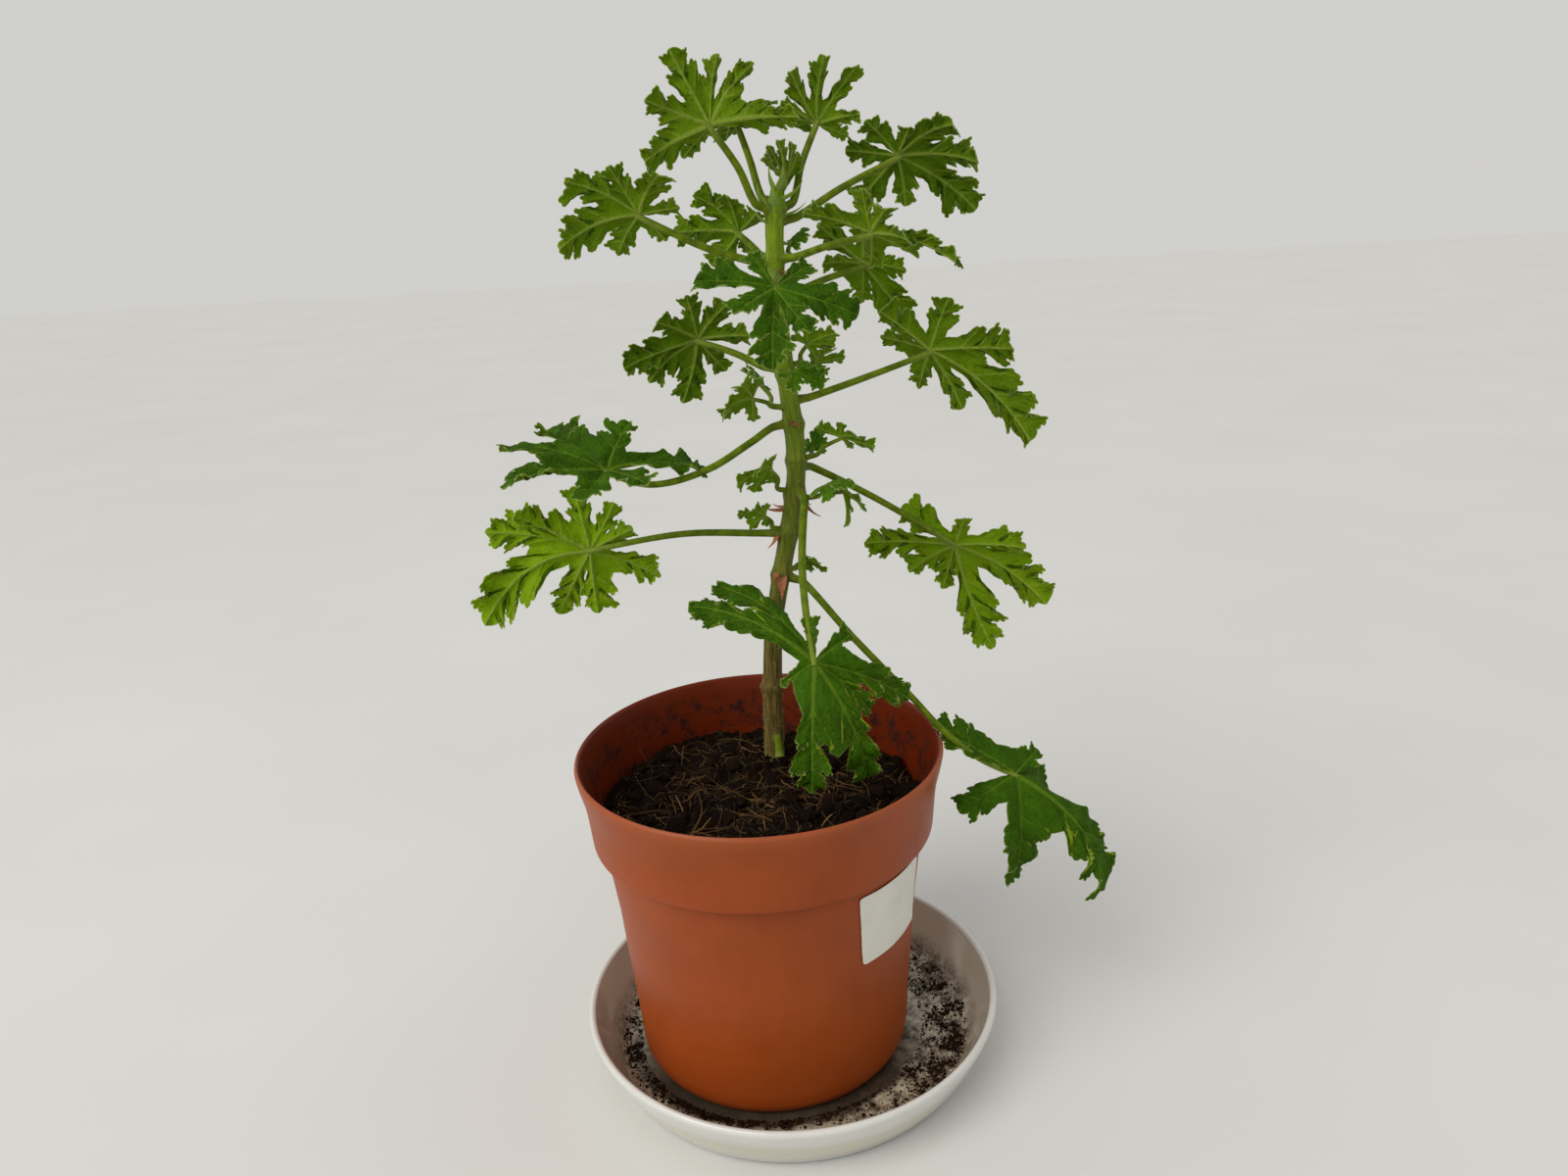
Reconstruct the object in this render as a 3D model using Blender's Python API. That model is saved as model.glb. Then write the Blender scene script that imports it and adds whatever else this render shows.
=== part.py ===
# A young scented geranium in a plastic flower pot that stands in a glazed saucer.
# Lengths are millimetres and angles are degrees; the meshes are scaled to metres as they are made.
# The origin is the middle of the saucer's flat underside. +Z is up, +X is to the viewer's right
# and +Y points away from the viewer. Everything that grows in the pot is placed from the pot's axis.

import math
import random

import bmesh
import bpy
from mathutils import Matrix, Vector, noise

MM = 0.001
GAP = 0.3

# Saucer
SAUCER_RIM_RADIUS = 77.0
SAUCER_FOOT_RADIUS = 67.0
SAUCER_HEIGHT = 22.0
SAUCER_RIM_WIDTH = 3.0
SAUCER_FLOOR = 4.0

# Pot
POT_AXIS_X = -7.0
POT_FOOT = SAUCER_FLOOR + GAP
POT_WALL = 1.7
POT_RIM_RADIUS = 65.0
POT_TOP = 123.0
POT_DRAIN_RADIUS = 3.5
POT_DRAIN_CIRCLE = 30.0
POT_DRAINS = 6
POT_SIDES = 32

# Soil
SOIL_LEVEL = 99.5
SOIL_LUMP = 3.0
SOIL_HOLE_DEPTH = 32.0

# Sticker on the pot, measured along the wall and round it
STICKER_TOP = 88.5
STICKER_FOOT = 60.0
STICKER_FROM = -55.5
STICKER_TO = -22.0
STICKER_BENDS = (87.0, 82.0, 77.0, 71.0)
STICKER_CORNER = 1.4
STICKER_LEAN = 3.0
STICKER_THICK = 0.4

# Main stem: height, x, y, radius
STEM = (
    (74.0, 4.6, 28.0, 3.4),
    (104.0, 4.9, 28.0, 3.7),
    (133.0, 5.7, 27.0, 3.6),
    (157.0, 7.3, 26.0, 3.3),
    (176.0, 11.0, 25.0, 3.3),
    (194.0, 15.0, 24.0, 3.5),
    (208.0, 17.8, 24.0, 3.4),
    (219.0, 18.8, 24.0, 3.3),
    (231.0, 18.4, 24.0, 3.4),
    (250.0, 16.4, 24.0, 3.2),
    (272.0, 15.0, 24.0, 2.9),
    (288.0, 14.9, 24.0, 3.0),
    (302.0, 15.4, 24.0, 3.2),
    (309.0, 17.5, 24.0, 2.2),
)
STEM_NODES = (133.0, 178.0, 193.0, 207.0, 219.0, 232.0, 249.0, 275.0, 287.0, 302.0)
NODE_SWELL = 0.7
STEM_SIDES = 9

# Dry scales left at the nodes: height, bearing round the stem, length, droop
SCALES = (
    (178.0, 268.0, 9.0, -60.0),
    (193.0, 200.0, 6.0, -55.0),
    (201.0, 182.0, 8.0, 5.0),
    (204.0, 350.0, 8.0, -50.0),
    (219.0, 95.0, 5.0, -20.0),
    (232.0, 275.0, 5.0, 10.0),
    (281.5, 345.0, 5.0, 10.0),
)

CUT_SHOOT_ROOT = 113.0
CUT_SHOOT_BEARING = 285.0
CUT_SHOOT_END = (7.0, 19.6, 107.5)

BLADE_THICK = 0.7
STALK_SIDES = 5
STALK_RADIUS = 1.15
YOUNG_STALK_RADIUS = 0.8
STALK_FLARE = 0.45
STALK_END = (1.1, 0.07, -0.13)

# Lobes of a leaf: bearing of the tip from the midrib, reach as a share of the leaf's length, lift
# out of the blade and, where a lobe curves, its sweep from base to tip
BROAD = (
    (-140, 0.60, 0), (-94, 0.72, 0), (-46, 0.90, 0), (0, 1.0, 0), (46, 0.90, 0), (94, 0.72, 0),
    (140, 0.60, 0),
)
SMALL = ((-96, 0.62, 0), (-48, 0.85, 0), (0, 1.0, 0), (48, 0.85, 0), (96, 0.62, 0))

# Teeth on each side of a lobe: where the vein branches, the tooth's tip and the notch past it.
# Each is a share of the lobe's length, then a share of the half angle between two lobes.
# Two lobes part at SINUS of their reach, or where a leaf's joins give another share, and no half
# angle is wider than the leaf's widest.
LONG_TEETH = (
    (0.38, (0.60, 0.86), (0.65, 0.42)),
    (0.60, (0.82, 0.74), (0.84, 0.34)),
    (0.80, (0.95, 0.42), (0.93, 0.16)),
)
SHORT_TEETH = ((0.40, (0.70, 0.86), (0.74, 0.40)), (0.70, (0.94, 0.56), (0.92, 0.20)))
SINGLE_TEETH = ((0.50, (0.82, 0.80), (0.84, 0.30)),)
LONG_LOBE = 27.0
SHORT_LOBE = 12.5
SINUS = 0.40
WIDEST_HALF_ANGLE = 23.0

# Leaves, each with where its stalk leaves the stem, where its blade begins, the way the midrib runs
# (heading round Z, pitch up, roll about itself), the midrib's length and, where it has its own, its lobes.
LEAVES = {
    "leaf_top_front": dict(
        root=303, base=(-3, 10, 328), aim=(205, 15, 55), length=28,
        lobes=((-75, 0.50, 0), (-22, 1.0, -18), (6, 0.80, 10), (42, 0.90, 28), (88, 0.75, 32),
               (120, 0.85, 28), (148, 1.0, 8))),
    "leaf_top_rear": dict(
        root=305, bearing=130, base=(3, 42, 331), aim=(15, 14, -12), length=25,
        lobes=((-140, 0.70, 0), (-94, 0.72, 0), (-46, 0.90, 0), (-4, 1.1, 0), (40, 0.95, 0),
               (94, 0.72, 0), (140, 0.60, 0))),
    "leaf_top_right": dict(
        root=303, base=(31, 34, 328), aim=(290, 75, 0), length=22,
        lobes=((-84, 0.40, 0), (-58, 0.65, 0), (-32, 0.90, 0), (-4, 1.0, 0), (28, 1.0, -10),
               (62, 0.75, -25), (108, 0.50, -30))),
    "leaf_upper_right": dict(
        root=299, base=(57, 35, 317), aim=(350, -12, -60), length=33,
        lobes=((-140, 0.50, 0), (-88, 0.38, 0), (-44, 0.80, 0), (-10, 0.85, 0), (25, 1.0, 0),
               (72, 0.50, 0), (130, 0.62, 0), (172, 0.55, 0))),
    "leaf_upper_right_low": dict(
        root=287, base=(45, 5, 294), aim=(330, -12, -40), length=30,
        lobes=((-150, 0.75, 5), (-90, 0.55, 22), (-58, 0.55, 15), (-28, 0.70, 6), (2, 1.0, -8),
               (42, 0.60, 5), (100, 0.50, 5))),
    "leaf_upper_right_rear": dict(
        root=275, base=(46, 52, 282), aim=(10, -35, -60), length=25,
        lobes=((-172, 0.90, 0), (-135, 0.75, 0), (-84, 0.45, 0), (-36, 0.65, 0), (8, 1.0, 0),
               (60, 0.55, 0), (146, 0.60, 0))),
    "leaf_centre_front": dict(
        root=282, base=(14, -10, 280), aim=(268, -45, 0), length=27,
        lobes=((-145, 0.50, 8), (-96, 0.95, 8), (-46, 0.70, 10), (-4, 1.0, 0), (35, 0.75, 0),
               (74, 1.0, -6), (132, 0.55, -8))),
    "leaf_upper_left": dict(
        root=286, base=(-28, 18, 303), aim=(185, -8, 60), length=29.5, arch=-2.5,
        lobes=((-122, 0.42, 0), (-56, 0.52, 0), (-4, 1.0, 0), (37, 0.88, 0), (72, 0.62, 0),
               (122, 0.68, 0), (168, 0.48, 0))),
    "leaf_upper_left_rear": dict(
        root=284, bearing=110, base=(3, 54, 295), aim=(165, 8, 60), length=24,
        lobes=((-110, 0.48, 0), (-46, 0.72, 0), (-2, 1.0, 0), (38, 0.88, 0), (80, 0.72, 0), (122, 0.60, 0))),
    "leaf_middle_left": dict(
        root=251, base=(-13, 34, 261), aim=(180, -12, 65), length=28,
        lobes=((-120, 0.56, 0), (-58, 0.92, 0), (-28, 0.85, 0), (3, 1.0, 0), (50, 0.68, 0), (90, 0.58, 0),
               (138, 0.72, 0), (178, 0.70, 0))),
    "leaf_middle_right": dict(
        root=240, base=(68, 42, 252), aim=(0, -28, -65), length=48, arch=-1,
        lobes=((-162, 0.50, 0), (-96, 0.42, 0), (-42, 0.64, 0), (3, 1.0, 0), (34, 0.52, 0), (68, 0.36, 0),
               (166, 0.38, 0))),
    "leaf_lower_left_top": dict(
        root=232, base=(-44, 0, 224), aim=(190, 0, 0), length=39,
        via=((4, 19, 227.5), (-12, 9, 220.5), (-30, 3, 218)),
        lobes=((-158, 1.0, 0), (-122, 0.62, 30), (-50, 0.85, 18), (-20, 1.0, 12), (14, 0.88, -8),
               (62, 0.50, 0), (118, 0.55, 4))),
    "leaf_lower_left": dict(
        root=193, base=(-58, 35, 187), aim=(180, 0, 75), length=50, arch=3,
        lobes=((-150, 0.56, 0), (-94, 0.54, 0), (-60, 0.60, 0), (-31, 1.0, 0), (8, 0.80, 0),
               (45, 0.64, 0), (84, 0.52, 0), (116, 0.40, 0), (154, 0.40, 0))),
    "leaf_lower_right": dict(
        root=216, bearing=50, base=(76, 38, 181), aim=(10, -30, -65), length=47, arch=2,
        lobes=((-172, 0.56, 0), (-118, 0.30, 0), (-38, 0.55, 0), (2, 0.92, 0), (36, 1.0, 0),
               (70, 0.50, 0), (102, 0.46, 0), (150, 0.72, 0))),
    "leaf_over_pot": dict(
        root=208, bearing=295, base=(20.5, -20, 161), aim=(275, -60, 0), length=47,
        via=((20, 14, 202), (18.5, 0, 188), (19, -12, 173)),
        widest=12, joins={2: 0.55, 4: 0.9, 5: 0.72, 6: 0.85, 7: 0.6, 8: 0.8},
        lobes=((-176, 0.34, -10), (-139, 1.04, -8, 12), (-121, 1.0, -2, 20), (-52, 0.30, -8),
               (-4, 0.95, -12), (22, 0.98, -16), (45, 0.62, -16), (68, 0.86, -16, -22),
               (128, 0.36, -22))),
    "leaf_past_rim": dict(
        root=176, bearing=345, base=(91.3, 0, 105.5), aim=(345, -50, 20), length=50,
        via=((35, 13, 157), (55, 4, 136), (65, -3, 125.8), (78, -2, 113.5)),
        joins={2: 0.6, 5: 0.6},
        lobes=((-100, 0.50, -10), (-17, 0.84, -12), (9, 1.25, -10), (46, 0.48, -8), (92, 0.30, -4),
               (190, 0.68, -9))),
}

# Small young leaves in the angles of the big ones, a shoot to a row of leaves
SHOOTS = {
    "shoot_upper_left": dict(root=238, bearing=195, leaves=(
        dict(base=(5, 14, 243), aim=(205, 0, 55), length=15),
        dict(base=(8, 32, 244), aim=(120, 35, 40), length=11))),
    "shoot_upper_front": dict(root=248, bearing=300, leaves=(
        dict(base=(19, 13, 251), aim=(320, -25, 15), length=13),)),
    "shoot_upper_right": dict(root=252, bearing=20, leaves=(
        dict(base=(26, 36, 250), aim=(15, 10, -50), length=12),
        dict(base=(24, 29, 258), aim=(345, 30, -50), length=12))),
    "shoot_middle_right": dict(root=220, bearing=0, leaves=(
        dict(base=(34, 26, 226), aim=(350, -15, -55), length=13,
             lobes=((-150, 0.75, 0), (-92, 0.6, 0), (-40, 0.75, 0), (0, 1.0, 0), (48, 0.6, 0))),
        dict(base=(25, 30, 221), aim=(70, 65, 0), length=8))),
    "shoot_lower_right": dict(root=206, bearing=335, leaves=(
        dict(base=(28, 14, 212), aim=(315, 15, 10), length=12),
        dict(base=(34, 19, 209), aim=(340, -65, -30), length=14))),
    "shoot_middle_left": dict(root=209, bearing=205, leaves=(
        dict(base=(10, 15, 219), aim=(200, -20, 50), length=14),)),
    "shoot_lower_left": dict(root=195, bearing=190, leaves=(
        dict(base=(7, 20, 201), aim=(190, 0, 55), length=10),)),
    "shoot_low_right": dict(root=179, bearing=20, leaves=(
        dict(base=(19, 31, 180), aim=(0, -25, -40), length=10),)),
    "shoot_top_right": dict(root=287, bearing=20, leaves=(
        dict(base=(20, 30, 291), aim=(35, 45, 0), length=9),)),
    "growing_tip": dict(root=309, bearing=40, leaves=(
        dict(start=(17.5, 24, 309), base=(19.5, 25, 313), aim=(255, 80, 0), length=13, fold=0.8,
             lobes=((-56, 0.60, 0), (-24, 0.85, 0), (0, 1.0, 0), (24, 0.85, 0), (56, 0.60, 0))),)),
}

def linear(colour):
    # sRGB hex to linear red, green and blue
    parts = (int(colour[i:i + 2], 16) / 255 for i in (1, 3, 5))
    return [p / 12.92 if p <= 0.04045 else ((p + 0.055) / 1.055) ** 2.4 for p in parts]


def material(name, colour, roughness):
    finish = bpy.data.materials.new(name)
    finish.use_nodes = True
    shader = finish.node_tree.nodes["Principled BSDF"]
    shader.inputs["Base Color"].default_value = (*linear(colour), 1.0)
    shader.inputs["Roughness"].default_value = roughness
    finish.diffuse_color = (*linear(colour), 1.0)
    return finish


def placed(name, bm, parent, finish, crease=35.0):
    # turns a mesh made in millimetres into a named object under its parent
    bmesh.ops.scale(bm, vec=(MM, MM, MM), verts=bm.verts)
    mesh = bpy.data.meshes.new(name)
    bm.to_mesh(mesh)
    bm.free()
    mesh.materials.append(finish)
    mesh.shade_smooth()
    mesh.set_sharp_from_angle(angle=math.radians(crease))
    piece = bpy.data.objects.new(name, mesh)
    bpy.context.scene.collection.objects.link(piece)
    piece.parent = parent
    return piece


def turned(profile, steps):
    # spins a closed outline of (radius, height) points round Z
    bm = bmesh.new()
    verts = [bm.verts.new((r, 0, z)) for r, z in profile]
    ends_on_axis = profile[0][0] == 0 and profile[-1][0] == 0
    pairs = list(zip(verts, verts[1:])) + ([] if ends_on_axis else [(verts[-1], verts[0])])
    edges = [bm.edges.new(pair) for pair in pairs]
    bmesh.ops.spin(bm, geom=verts + edges, cent=(0, 0, 0), axis=(0, 0, 1), angle=math.tau,
                   steps=steps, use_merge=True)
    bmesh.ops.remove_doubles(bm, verts=bm.verts, dist=0.001)
    bmesh.ops.recalc_face_normals(bm, faces=bm.faces)
    return bm


def along(table, z):
    # reads a table of rows that start with a height, between the rows
    if z <= table[0][0]:
        return table[0][1:]
    for low, high in zip(table, table[1:]):
        if z <= high[0]:
            t = (z - low[0]) / (high[0] - low[0])
            return tuple(a + (b - a) * t for a, b in zip(low[1:], high[1:]))
    return table[-1][1:]


# Height and outer radius of the pot's wall
POT_OUTSIDE = (
    (POT_FOOT, 46.5), (POT_FOOT + 1.2, 48.6), (POT_FOOT + 4.5, 50.2), (12.0, 50.6),
    (71.0, 54.3), (77.0, 55.4), (82.0, 56.9), (87.0, 58.6), (90.5, 59.4),
    (111.5, 61.3), (114.5, 63.2), (120.0, 64.8), (POT_TOP - 1.2, POT_RIM_RADIUS),
)


def pot_outer(z):
    return along(POT_OUTSIDE, z)[0]


def pot_inner(z):
    return pot_outer(z) - POT_WALL


def make_saucer(finish):
    rim_in = SAUCER_RIM_RADIUS - SAUCER_RIM_WIDTH
    outside = [(0, 0), (SAUCER_FOOT_RADIUS - 1.5, 0), (SAUCER_FOOT_RADIUS, 0.8), (71.5, 7.5), (74.8, 14.5)]
    rim = [(SAUCER_RIM_RADIUS, SAUCER_HEIGHT - 1.8), (SAUCER_RIM_RADIUS - 0.5, SAUCER_HEIGHT - 0.4),
           (SAUCER_RIM_RADIUS - 1.5, SAUCER_HEIGHT), (rim_in + 0.4, SAUCER_HEIGHT - 0.6),
           (rim_in, SAUCER_HEIGHT - 2)]
    inside = [(71.4, 14.0), (68.2, 8.0), (65.5, 5.0), (62.5, SAUCER_FLOOR), (0, SAUCER_FLOOR)]
    return placed("saucer", turned(outside + rim + inside, 40), None, finish)


def make_pot(axis, finish):
    outer = [(r, z) for z, r in POT_OUTSIDE]
    inner = [(pot_inner(z), z) for z in (112.0, 90.5, 87.0, 82.0, 77.0, 71.0, 12.0)]
    rim = [(POT_RIM_RADIUS - 0.9, POT_TOP), (POT_RIM_RADIUS - 1.8, POT_TOP - 0.9),
           (POT_RIM_RADIUS - 2.8, POT_TOP - 5.0)]
    floor = [(48.2, POT_FOOT + 3.6), (46.0, POT_FOOT + POT_WALL), (0, POT_FOOT + POT_WALL)]
    pot = placed("pot", turned([(0, POT_FOOT)] + outer + rim + inner + floor, POT_SIDES), axis, finish)
    for i in range(POT_DRAINS):
        turn = math.tau * (i + 0.5) / POT_DRAINS
        bm = bmesh.new()
        bmesh.ops.create_cone(bm, cap_ends=True, segments=8, radius1=POT_DRAIN_RADIUS,
                              radius2=POT_DRAIN_RADIUS, depth=10)
        bmesh.ops.translate(bm, verts=bm.verts, vec=(POT_DRAIN_CIRCLE * math.cos(turn),
                                                     POT_DRAIN_CIRCLE * math.sin(turn), POT_FOOT))
        cut(pot, placed(f"drain_hole_{i + 1}", bm, axis, finish))
    return pot


def cut(piece, cutter):
    cutter.hide_render = True
    cutter.display_type = "WIRE"
    hole = piece.modifiers.new(cutter.name, "BOOLEAN")
    hole.operation = "DIFFERENCE"
    hole.object = cutter


def stem_at(z):
    return along(STEM, z)


def soil_height(x, y):
    # low at the front left, heaped towards the back and round the stem
    stem_x, stem_y, _ = stem_at(SOIL_LEVEL)
    near = math.exp(-((x - stem_x) ** 2 + (y - stem_y) ** 2) / 18.0 ** 2)
    heap = 4.0 * math.exp(-((x + 22) ** 2 + (y - 34) ** 2) / 24.0 ** 2)
    clods = noise.noise(Vector((x, y, 0)) / 11.0) + 0.5 * noise.noise(Vector((x, y, 9)) / 5.0)
    return SOIL_LEVEL + 4.0 * near + heap + SOIL_LUMP * clods


def make_soil(axis, finish):
    sides = 28
    wall = [90.5, 86.0, 78.0, 71.0, 12.0, POT_FOOT + 4.5]
    edge = pot_inner(SOIL_LEVEL) - 2 * GAP
    bm = bmesh.new()
    rings = []
    for share in (0.2, 0.4, 0.58, 0.74, 0.88, 0.97, 1.0):
        ring = []
        for i in range(sides):
            turn = math.tau * i / sides
            x, y = edge * share * math.cos(turn), edge * share * math.sin(turn)
            height = soil_height(x, y) if share < 1 else SOIL_LEVEL - 0.5
            ring.append(bm.verts.new((x, y, height)))
        rings.append(ring)
    for z in wall:
        radius = pot_inner(z) - 2 * GAP
        rings.append([bm.verts.new((radius * math.cos(math.tau * i / sides),
                                    radius * math.sin(math.tau * i / sides), z)) for i in range(sides)])
    foot = POT_FOOT + POT_WALL + GAP
    rings.append([bm.verts.new((45.0 * math.cos(math.tau * i / sides),
                                45.0 * math.sin(math.tau * i / sides), foot)) for i in range(sides)])
    for upper, lower in zip(rings, rings[1:]):
        for i in range(sides):
            j = (i + 1) % sides
            bm.faces.new((upper[i], lower[i], lower[j], upper[j]))
    middle = bm.verts.new((0, 0, soil_height(0, 0)))
    under = bm.verts.new((0, 0, foot))
    for i in range(sides):
        j = (i + 1) % sides
        bm.faces.new((middle, rings[0][i], rings[0][j]))
        bm.faces.new((under, rings[-1][j], rings[-1][i]))
    bmesh.ops.triangulate(bm, faces=bm.faces)
    soil = placed("soil", bm, axis, finish, crease=60.0)
    x, y, radius = stem_at(SOIL_LEVEL)
    bm = bmesh.new()
    bmesh.ops.create_cone(bm, cap_ends=True, segments=12, radius1=radius + 0.9, radius2=radius + 0.9,
                          depth=2 * SOIL_HOLE_DEPTH)
    bmesh.ops.translate(bm, verts=bm.verts, vec=(x, y, SOIL_LEVEL + 4.0))
    cut(soil, placed("stem_hole", bm, axis, finish))
    return soil


def make_sticker(axis, finish):
    # a paper rectangle with rounded corners, bent round the pot's wall
    middle = (STICKER_TOP + STICKER_FOOT) / 2
    round_mm = math.radians(STICKER_TO - STICKER_FROM) * pot_outer(middle)
    stations = [0.0, 0.12, 0.45, 1.0]
    stations = [s * STICKER_CORNER for s in stations]
    inner_steps = 6
    span = round_mm - 2 * STICKER_CORNER
    places = stations + [STICKER_CORNER + span * i / inner_steps for i in range(1, inner_steps)]
    places += [round_mm - s for s in reversed(stations)]
    bm = bmesh.new()
    columns = []
    for place in places:
        inset = max(0.0, STICKER_CORNER - min(place, round_mm - place))
        trim = STICKER_CORNER - math.sqrt(max(0.0, STICKER_CORNER ** 2 - inset ** 2))
        turn = math.radians(STICKER_FROM) + place / pot_outer(middle)
        column = []
        for z in (STICKER_TOP - trim, *STICKER_BENDS, STICKER_FOOT + trim):
            for lift in (GAP, GAP + STICKER_THICK):
                radius = pot_outer(z) + lift
                lean = turn - math.radians(STICKER_LEAN) * (z - middle) / (STICKER_TOP - STICKER_FOOT)
                column.append(bm.verts.new((radius * math.cos(lean), radius * math.sin(lean), z)))
        columns.append(column)
    levels = len(STICKER_BENDS) + 2
    loop = list(range(0, 2 * levels, 2)) + list(range(2 * levels - 1, 0, -2))
    for left, right in zip(columns, columns[1:]):
        for a, b in zip(loop, loop[1:] + loop[:1]):
            bm.faces.new((left[a], left[b], right[b], right[a]))
    bm.faces.new([columns[0][k] for k in loop])
    bm.faces.new([columns[-1][k] for k in reversed(loop)])
    bmesh.ops.recalc_face_normals(bm, faces=bm.faces)
    return placed("sticker", bm, axis, finish)


def ring_loft(bm, rings):
    # skins a list of closed rings and caps both ends
    for near, far in zip(rings, rings[1:]):
        for i in range(len(near)):
            j = (i + 1) % len(near)
            bm.faces.new((near[i], near[j], far[j], far[i]))
    bm.faces.new(list(reversed(rings[0])))
    bm.faces.new(rings[-1])


def tube(points, radii, sides, first_normal=None):
    bm = bmesh.new()
    tangents = []
    for i, point in enumerate(points):
        ahead = points[min(i + 1, len(points) - 1)]
        behind = points[max(i - 1, 0)]
        tangents.append((ahead - behind).normalized())
    if first_normal:
        tangents[0] = first_normal
    across = tangents[0].orthogonal().normalized()
    rings = []
    for point, tangent, radius in zip(points, tangents, radii):
        across = (across - tangent * across.dot(tangent)).normalized()
        other = tangent.cross(across)
        rings.append([bm.verts.new(point + radius * (across * math.cos(math.tau * k / sides)
                                                     + other * math.sin(math.tau * k / sides)))
                      for k in range(sides)])
    ring_loft(bm, rings)
    return bm


def smooth_path(points, steps):
    # a smooth curve through the given points
    points = [Vector(p) for p in points]
    padded = [2 * points[0] - points[1]] + points + [2 * points[-1] - points[-2]]
    path = []
    for a, b, c, d in zip(padded, padded[1:], padded[2:], padded[3:]):
        leave = (c - a).normalized() * (c - b).length
        arrive = (d - b).normalized() * (c - b).length
        for i in range(steps):
            t = i / steps
            path.append(b * (2 * t ** 3 - 3 * t ** 2 + 1) + leave * (t ** 3 - 2 * t ** 2 + t)
                        + c * (3 * t ** 2 - 2 * t ** 3) + arrive * (t ** 3 - t ** 2))
    return path + [points[-1]]


def stem_radius(z):
    swell = sum(math.exp(-((z - node) / 2.2) ** 2) for node in STEM_NODES)
    return stem_at(z)[2] + NODE_SWELL * min(swell, 1.0)


def stem_surface(z, bearing, clear, half_height=0.0):
    # a point just off the stem's skin and the way out from it; half_height keeps a whole ring clear
    x, y, _ = stem_at(z)
    out = Vector((math.cos(math.radians(bearing)), math.sin(math.radians(bearing)), 0))
    skin = []
    for level in (z - half_height, z, z + half_height):
        near_x, near_y, _ = stem_at(level)
        skin.append((near_x - x) * out.x + (near_y - y) * out.y + stem_radius(level))
    return Vector((x, y, z)) + out * (max(skin) + clear), out


def make_stem(axis, finish):
    heights = {STEM[0][0], STEM[-1][0], 104.0, 118.0, 145.0, 163.0, 241.0, 262.0, 295.0}
    for node in STEM_NODES:
        heights.update((node - 2.5, node, node + 2.5))
    bm = bmesh.new()
    rings = []
    for z in sorted(heights):
        x, y, _ = stem_at(z)
        radius = stem_radius(z)
        rings.append([bm.verts.new((x + radius * math.cos(math.tau * k / STEM_SIDES),
                                    y + radius * math.sin(math.tau * k / STEM_SIDES), z))
                      for k in range(STEM_SIDES)])
    ring_loft(bm, rings)
    pieces = [placed("main_stem", bm, axis, finish, crease=60.0)]
    for z, bearing, length, droop in SCALES:
        root, out = stem_surface(z, bearing, -1.2)
        side = out.cross(Vector((0, 0, 1)))
        droop = math.radians(droop)
        tip = root + length * (out * math.cos(droop) + Vector((0, 0, math.sin(droop))))
        bm = bmesh.new()
        ring = [bm.verts.new(root + side * s * 1.9 + Vector((0, 0, 1)) * h) for s, h in
                ((-1, -0.7), (1, -0.7), (1, 0.9), (-1, 0.9))]
        point = bm.verts.new(tip)
        bm.faces.new(ring)
        for i in range(4):
            bm.faces.new((ring[(i + 1) % 4], ring[i], point))
        bmesh.ops.recalc_face_normals(bm, faces=bm.faces)
        pieces.append(placed("scale", bm, axis, finish))
    return fused("main_stem", pieces)


def make_cut_shoot(axis, finish):
    # a green stub at the foot of the stem, cut off short
    start, out = stem_surface(CUT_SHOOT_ROOT, CUT_SHOOT_BEARING, GAP, 1.5)
    path = smooth_path([start, start + out * 1.6, Vector(CUT_SHOOT_END)], 2)
    placed("cut_shoot", tube(path, [1.5, 1.3, 1.3, 1.5, 1.9], 7, out), axis, finish)


def is_closed(mesh):
    bm = bmesh.new()
    bm.from_mesh(mesh)
    bmesh.ops.triangulate(bm, faces=bm.faces)
    closed = all(edge.is_manifold for edge in bm.edges)
    bm.free()
    return closed


def fused(name, pieces):
    # joins pieces into the first of them with one union
    host, rest = pieces[0], pieces[1:]
    host.name = name
    group = bpy.data.collections.new(name + "_parts")
    bpy.context.scene.collection.children.link(group)
    for piece in rest:
        bpy.context.scene.collection.objects.unlink(piece)
        group.objects.link(piece)
    join = host.modifiers.new("join", "BOOLEAN")
    join.operation = "UNION"
    join.operand_type = "COLLECTION"
    join.collection = group
    for solver in ("EXACT", "MANIFOLD"):
        join.solver = solver
        bpy.context.view_layer.update()
        view = bpy.context.evaluated_depsgraph_get()
        mesh = bpy.data.meshes.new_from_object(host.evaluated_get(view))
        if is_closed(mesh):
            break
    mesh.name = name
    host.modifiers.clear()
    host.data = mesh
    for piece in rest:
        bpy.data.objects.remove(piece, do_unlink=True)
    bpy.data.collections.remove(group)
    return host


def leaf_turn(aim):
    heading, pitch, roll = (math.radians(a) for a in aim)
    return Matrix.Rotation(heading, 3, "Z") @ Matrix.Rotation(-pitch, 3, "Y") @ Matrix.Rotation(roll, 3, "X")


def leaf_place(leaf, bearing, radius, rise, lift, sweep=0.0):
    # bends a point of the flat blade: each lobe lifts, then droops and sweeps round towards its tip
    droop = math.radians(leaf.get("droop", 25)) / leaf["length"]
    start = -math.radians(lift + leaf.get("cup", 10))
    end = start + droop * radius
    out = (math.sin(end) - math.sin(start)) / droop
    up = (math.cos(end) - math.cos(start)) / droop
    bearing = math.radians(bearing - sweep * (1 - radius / leaf["length"]))
    way = Vector((math.cos(bearing), math.sin(bearing), 0))
    return way * (out + rise * math.sin(end)) + Vector((0, 0, up + rise * math.cos(end)))


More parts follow.
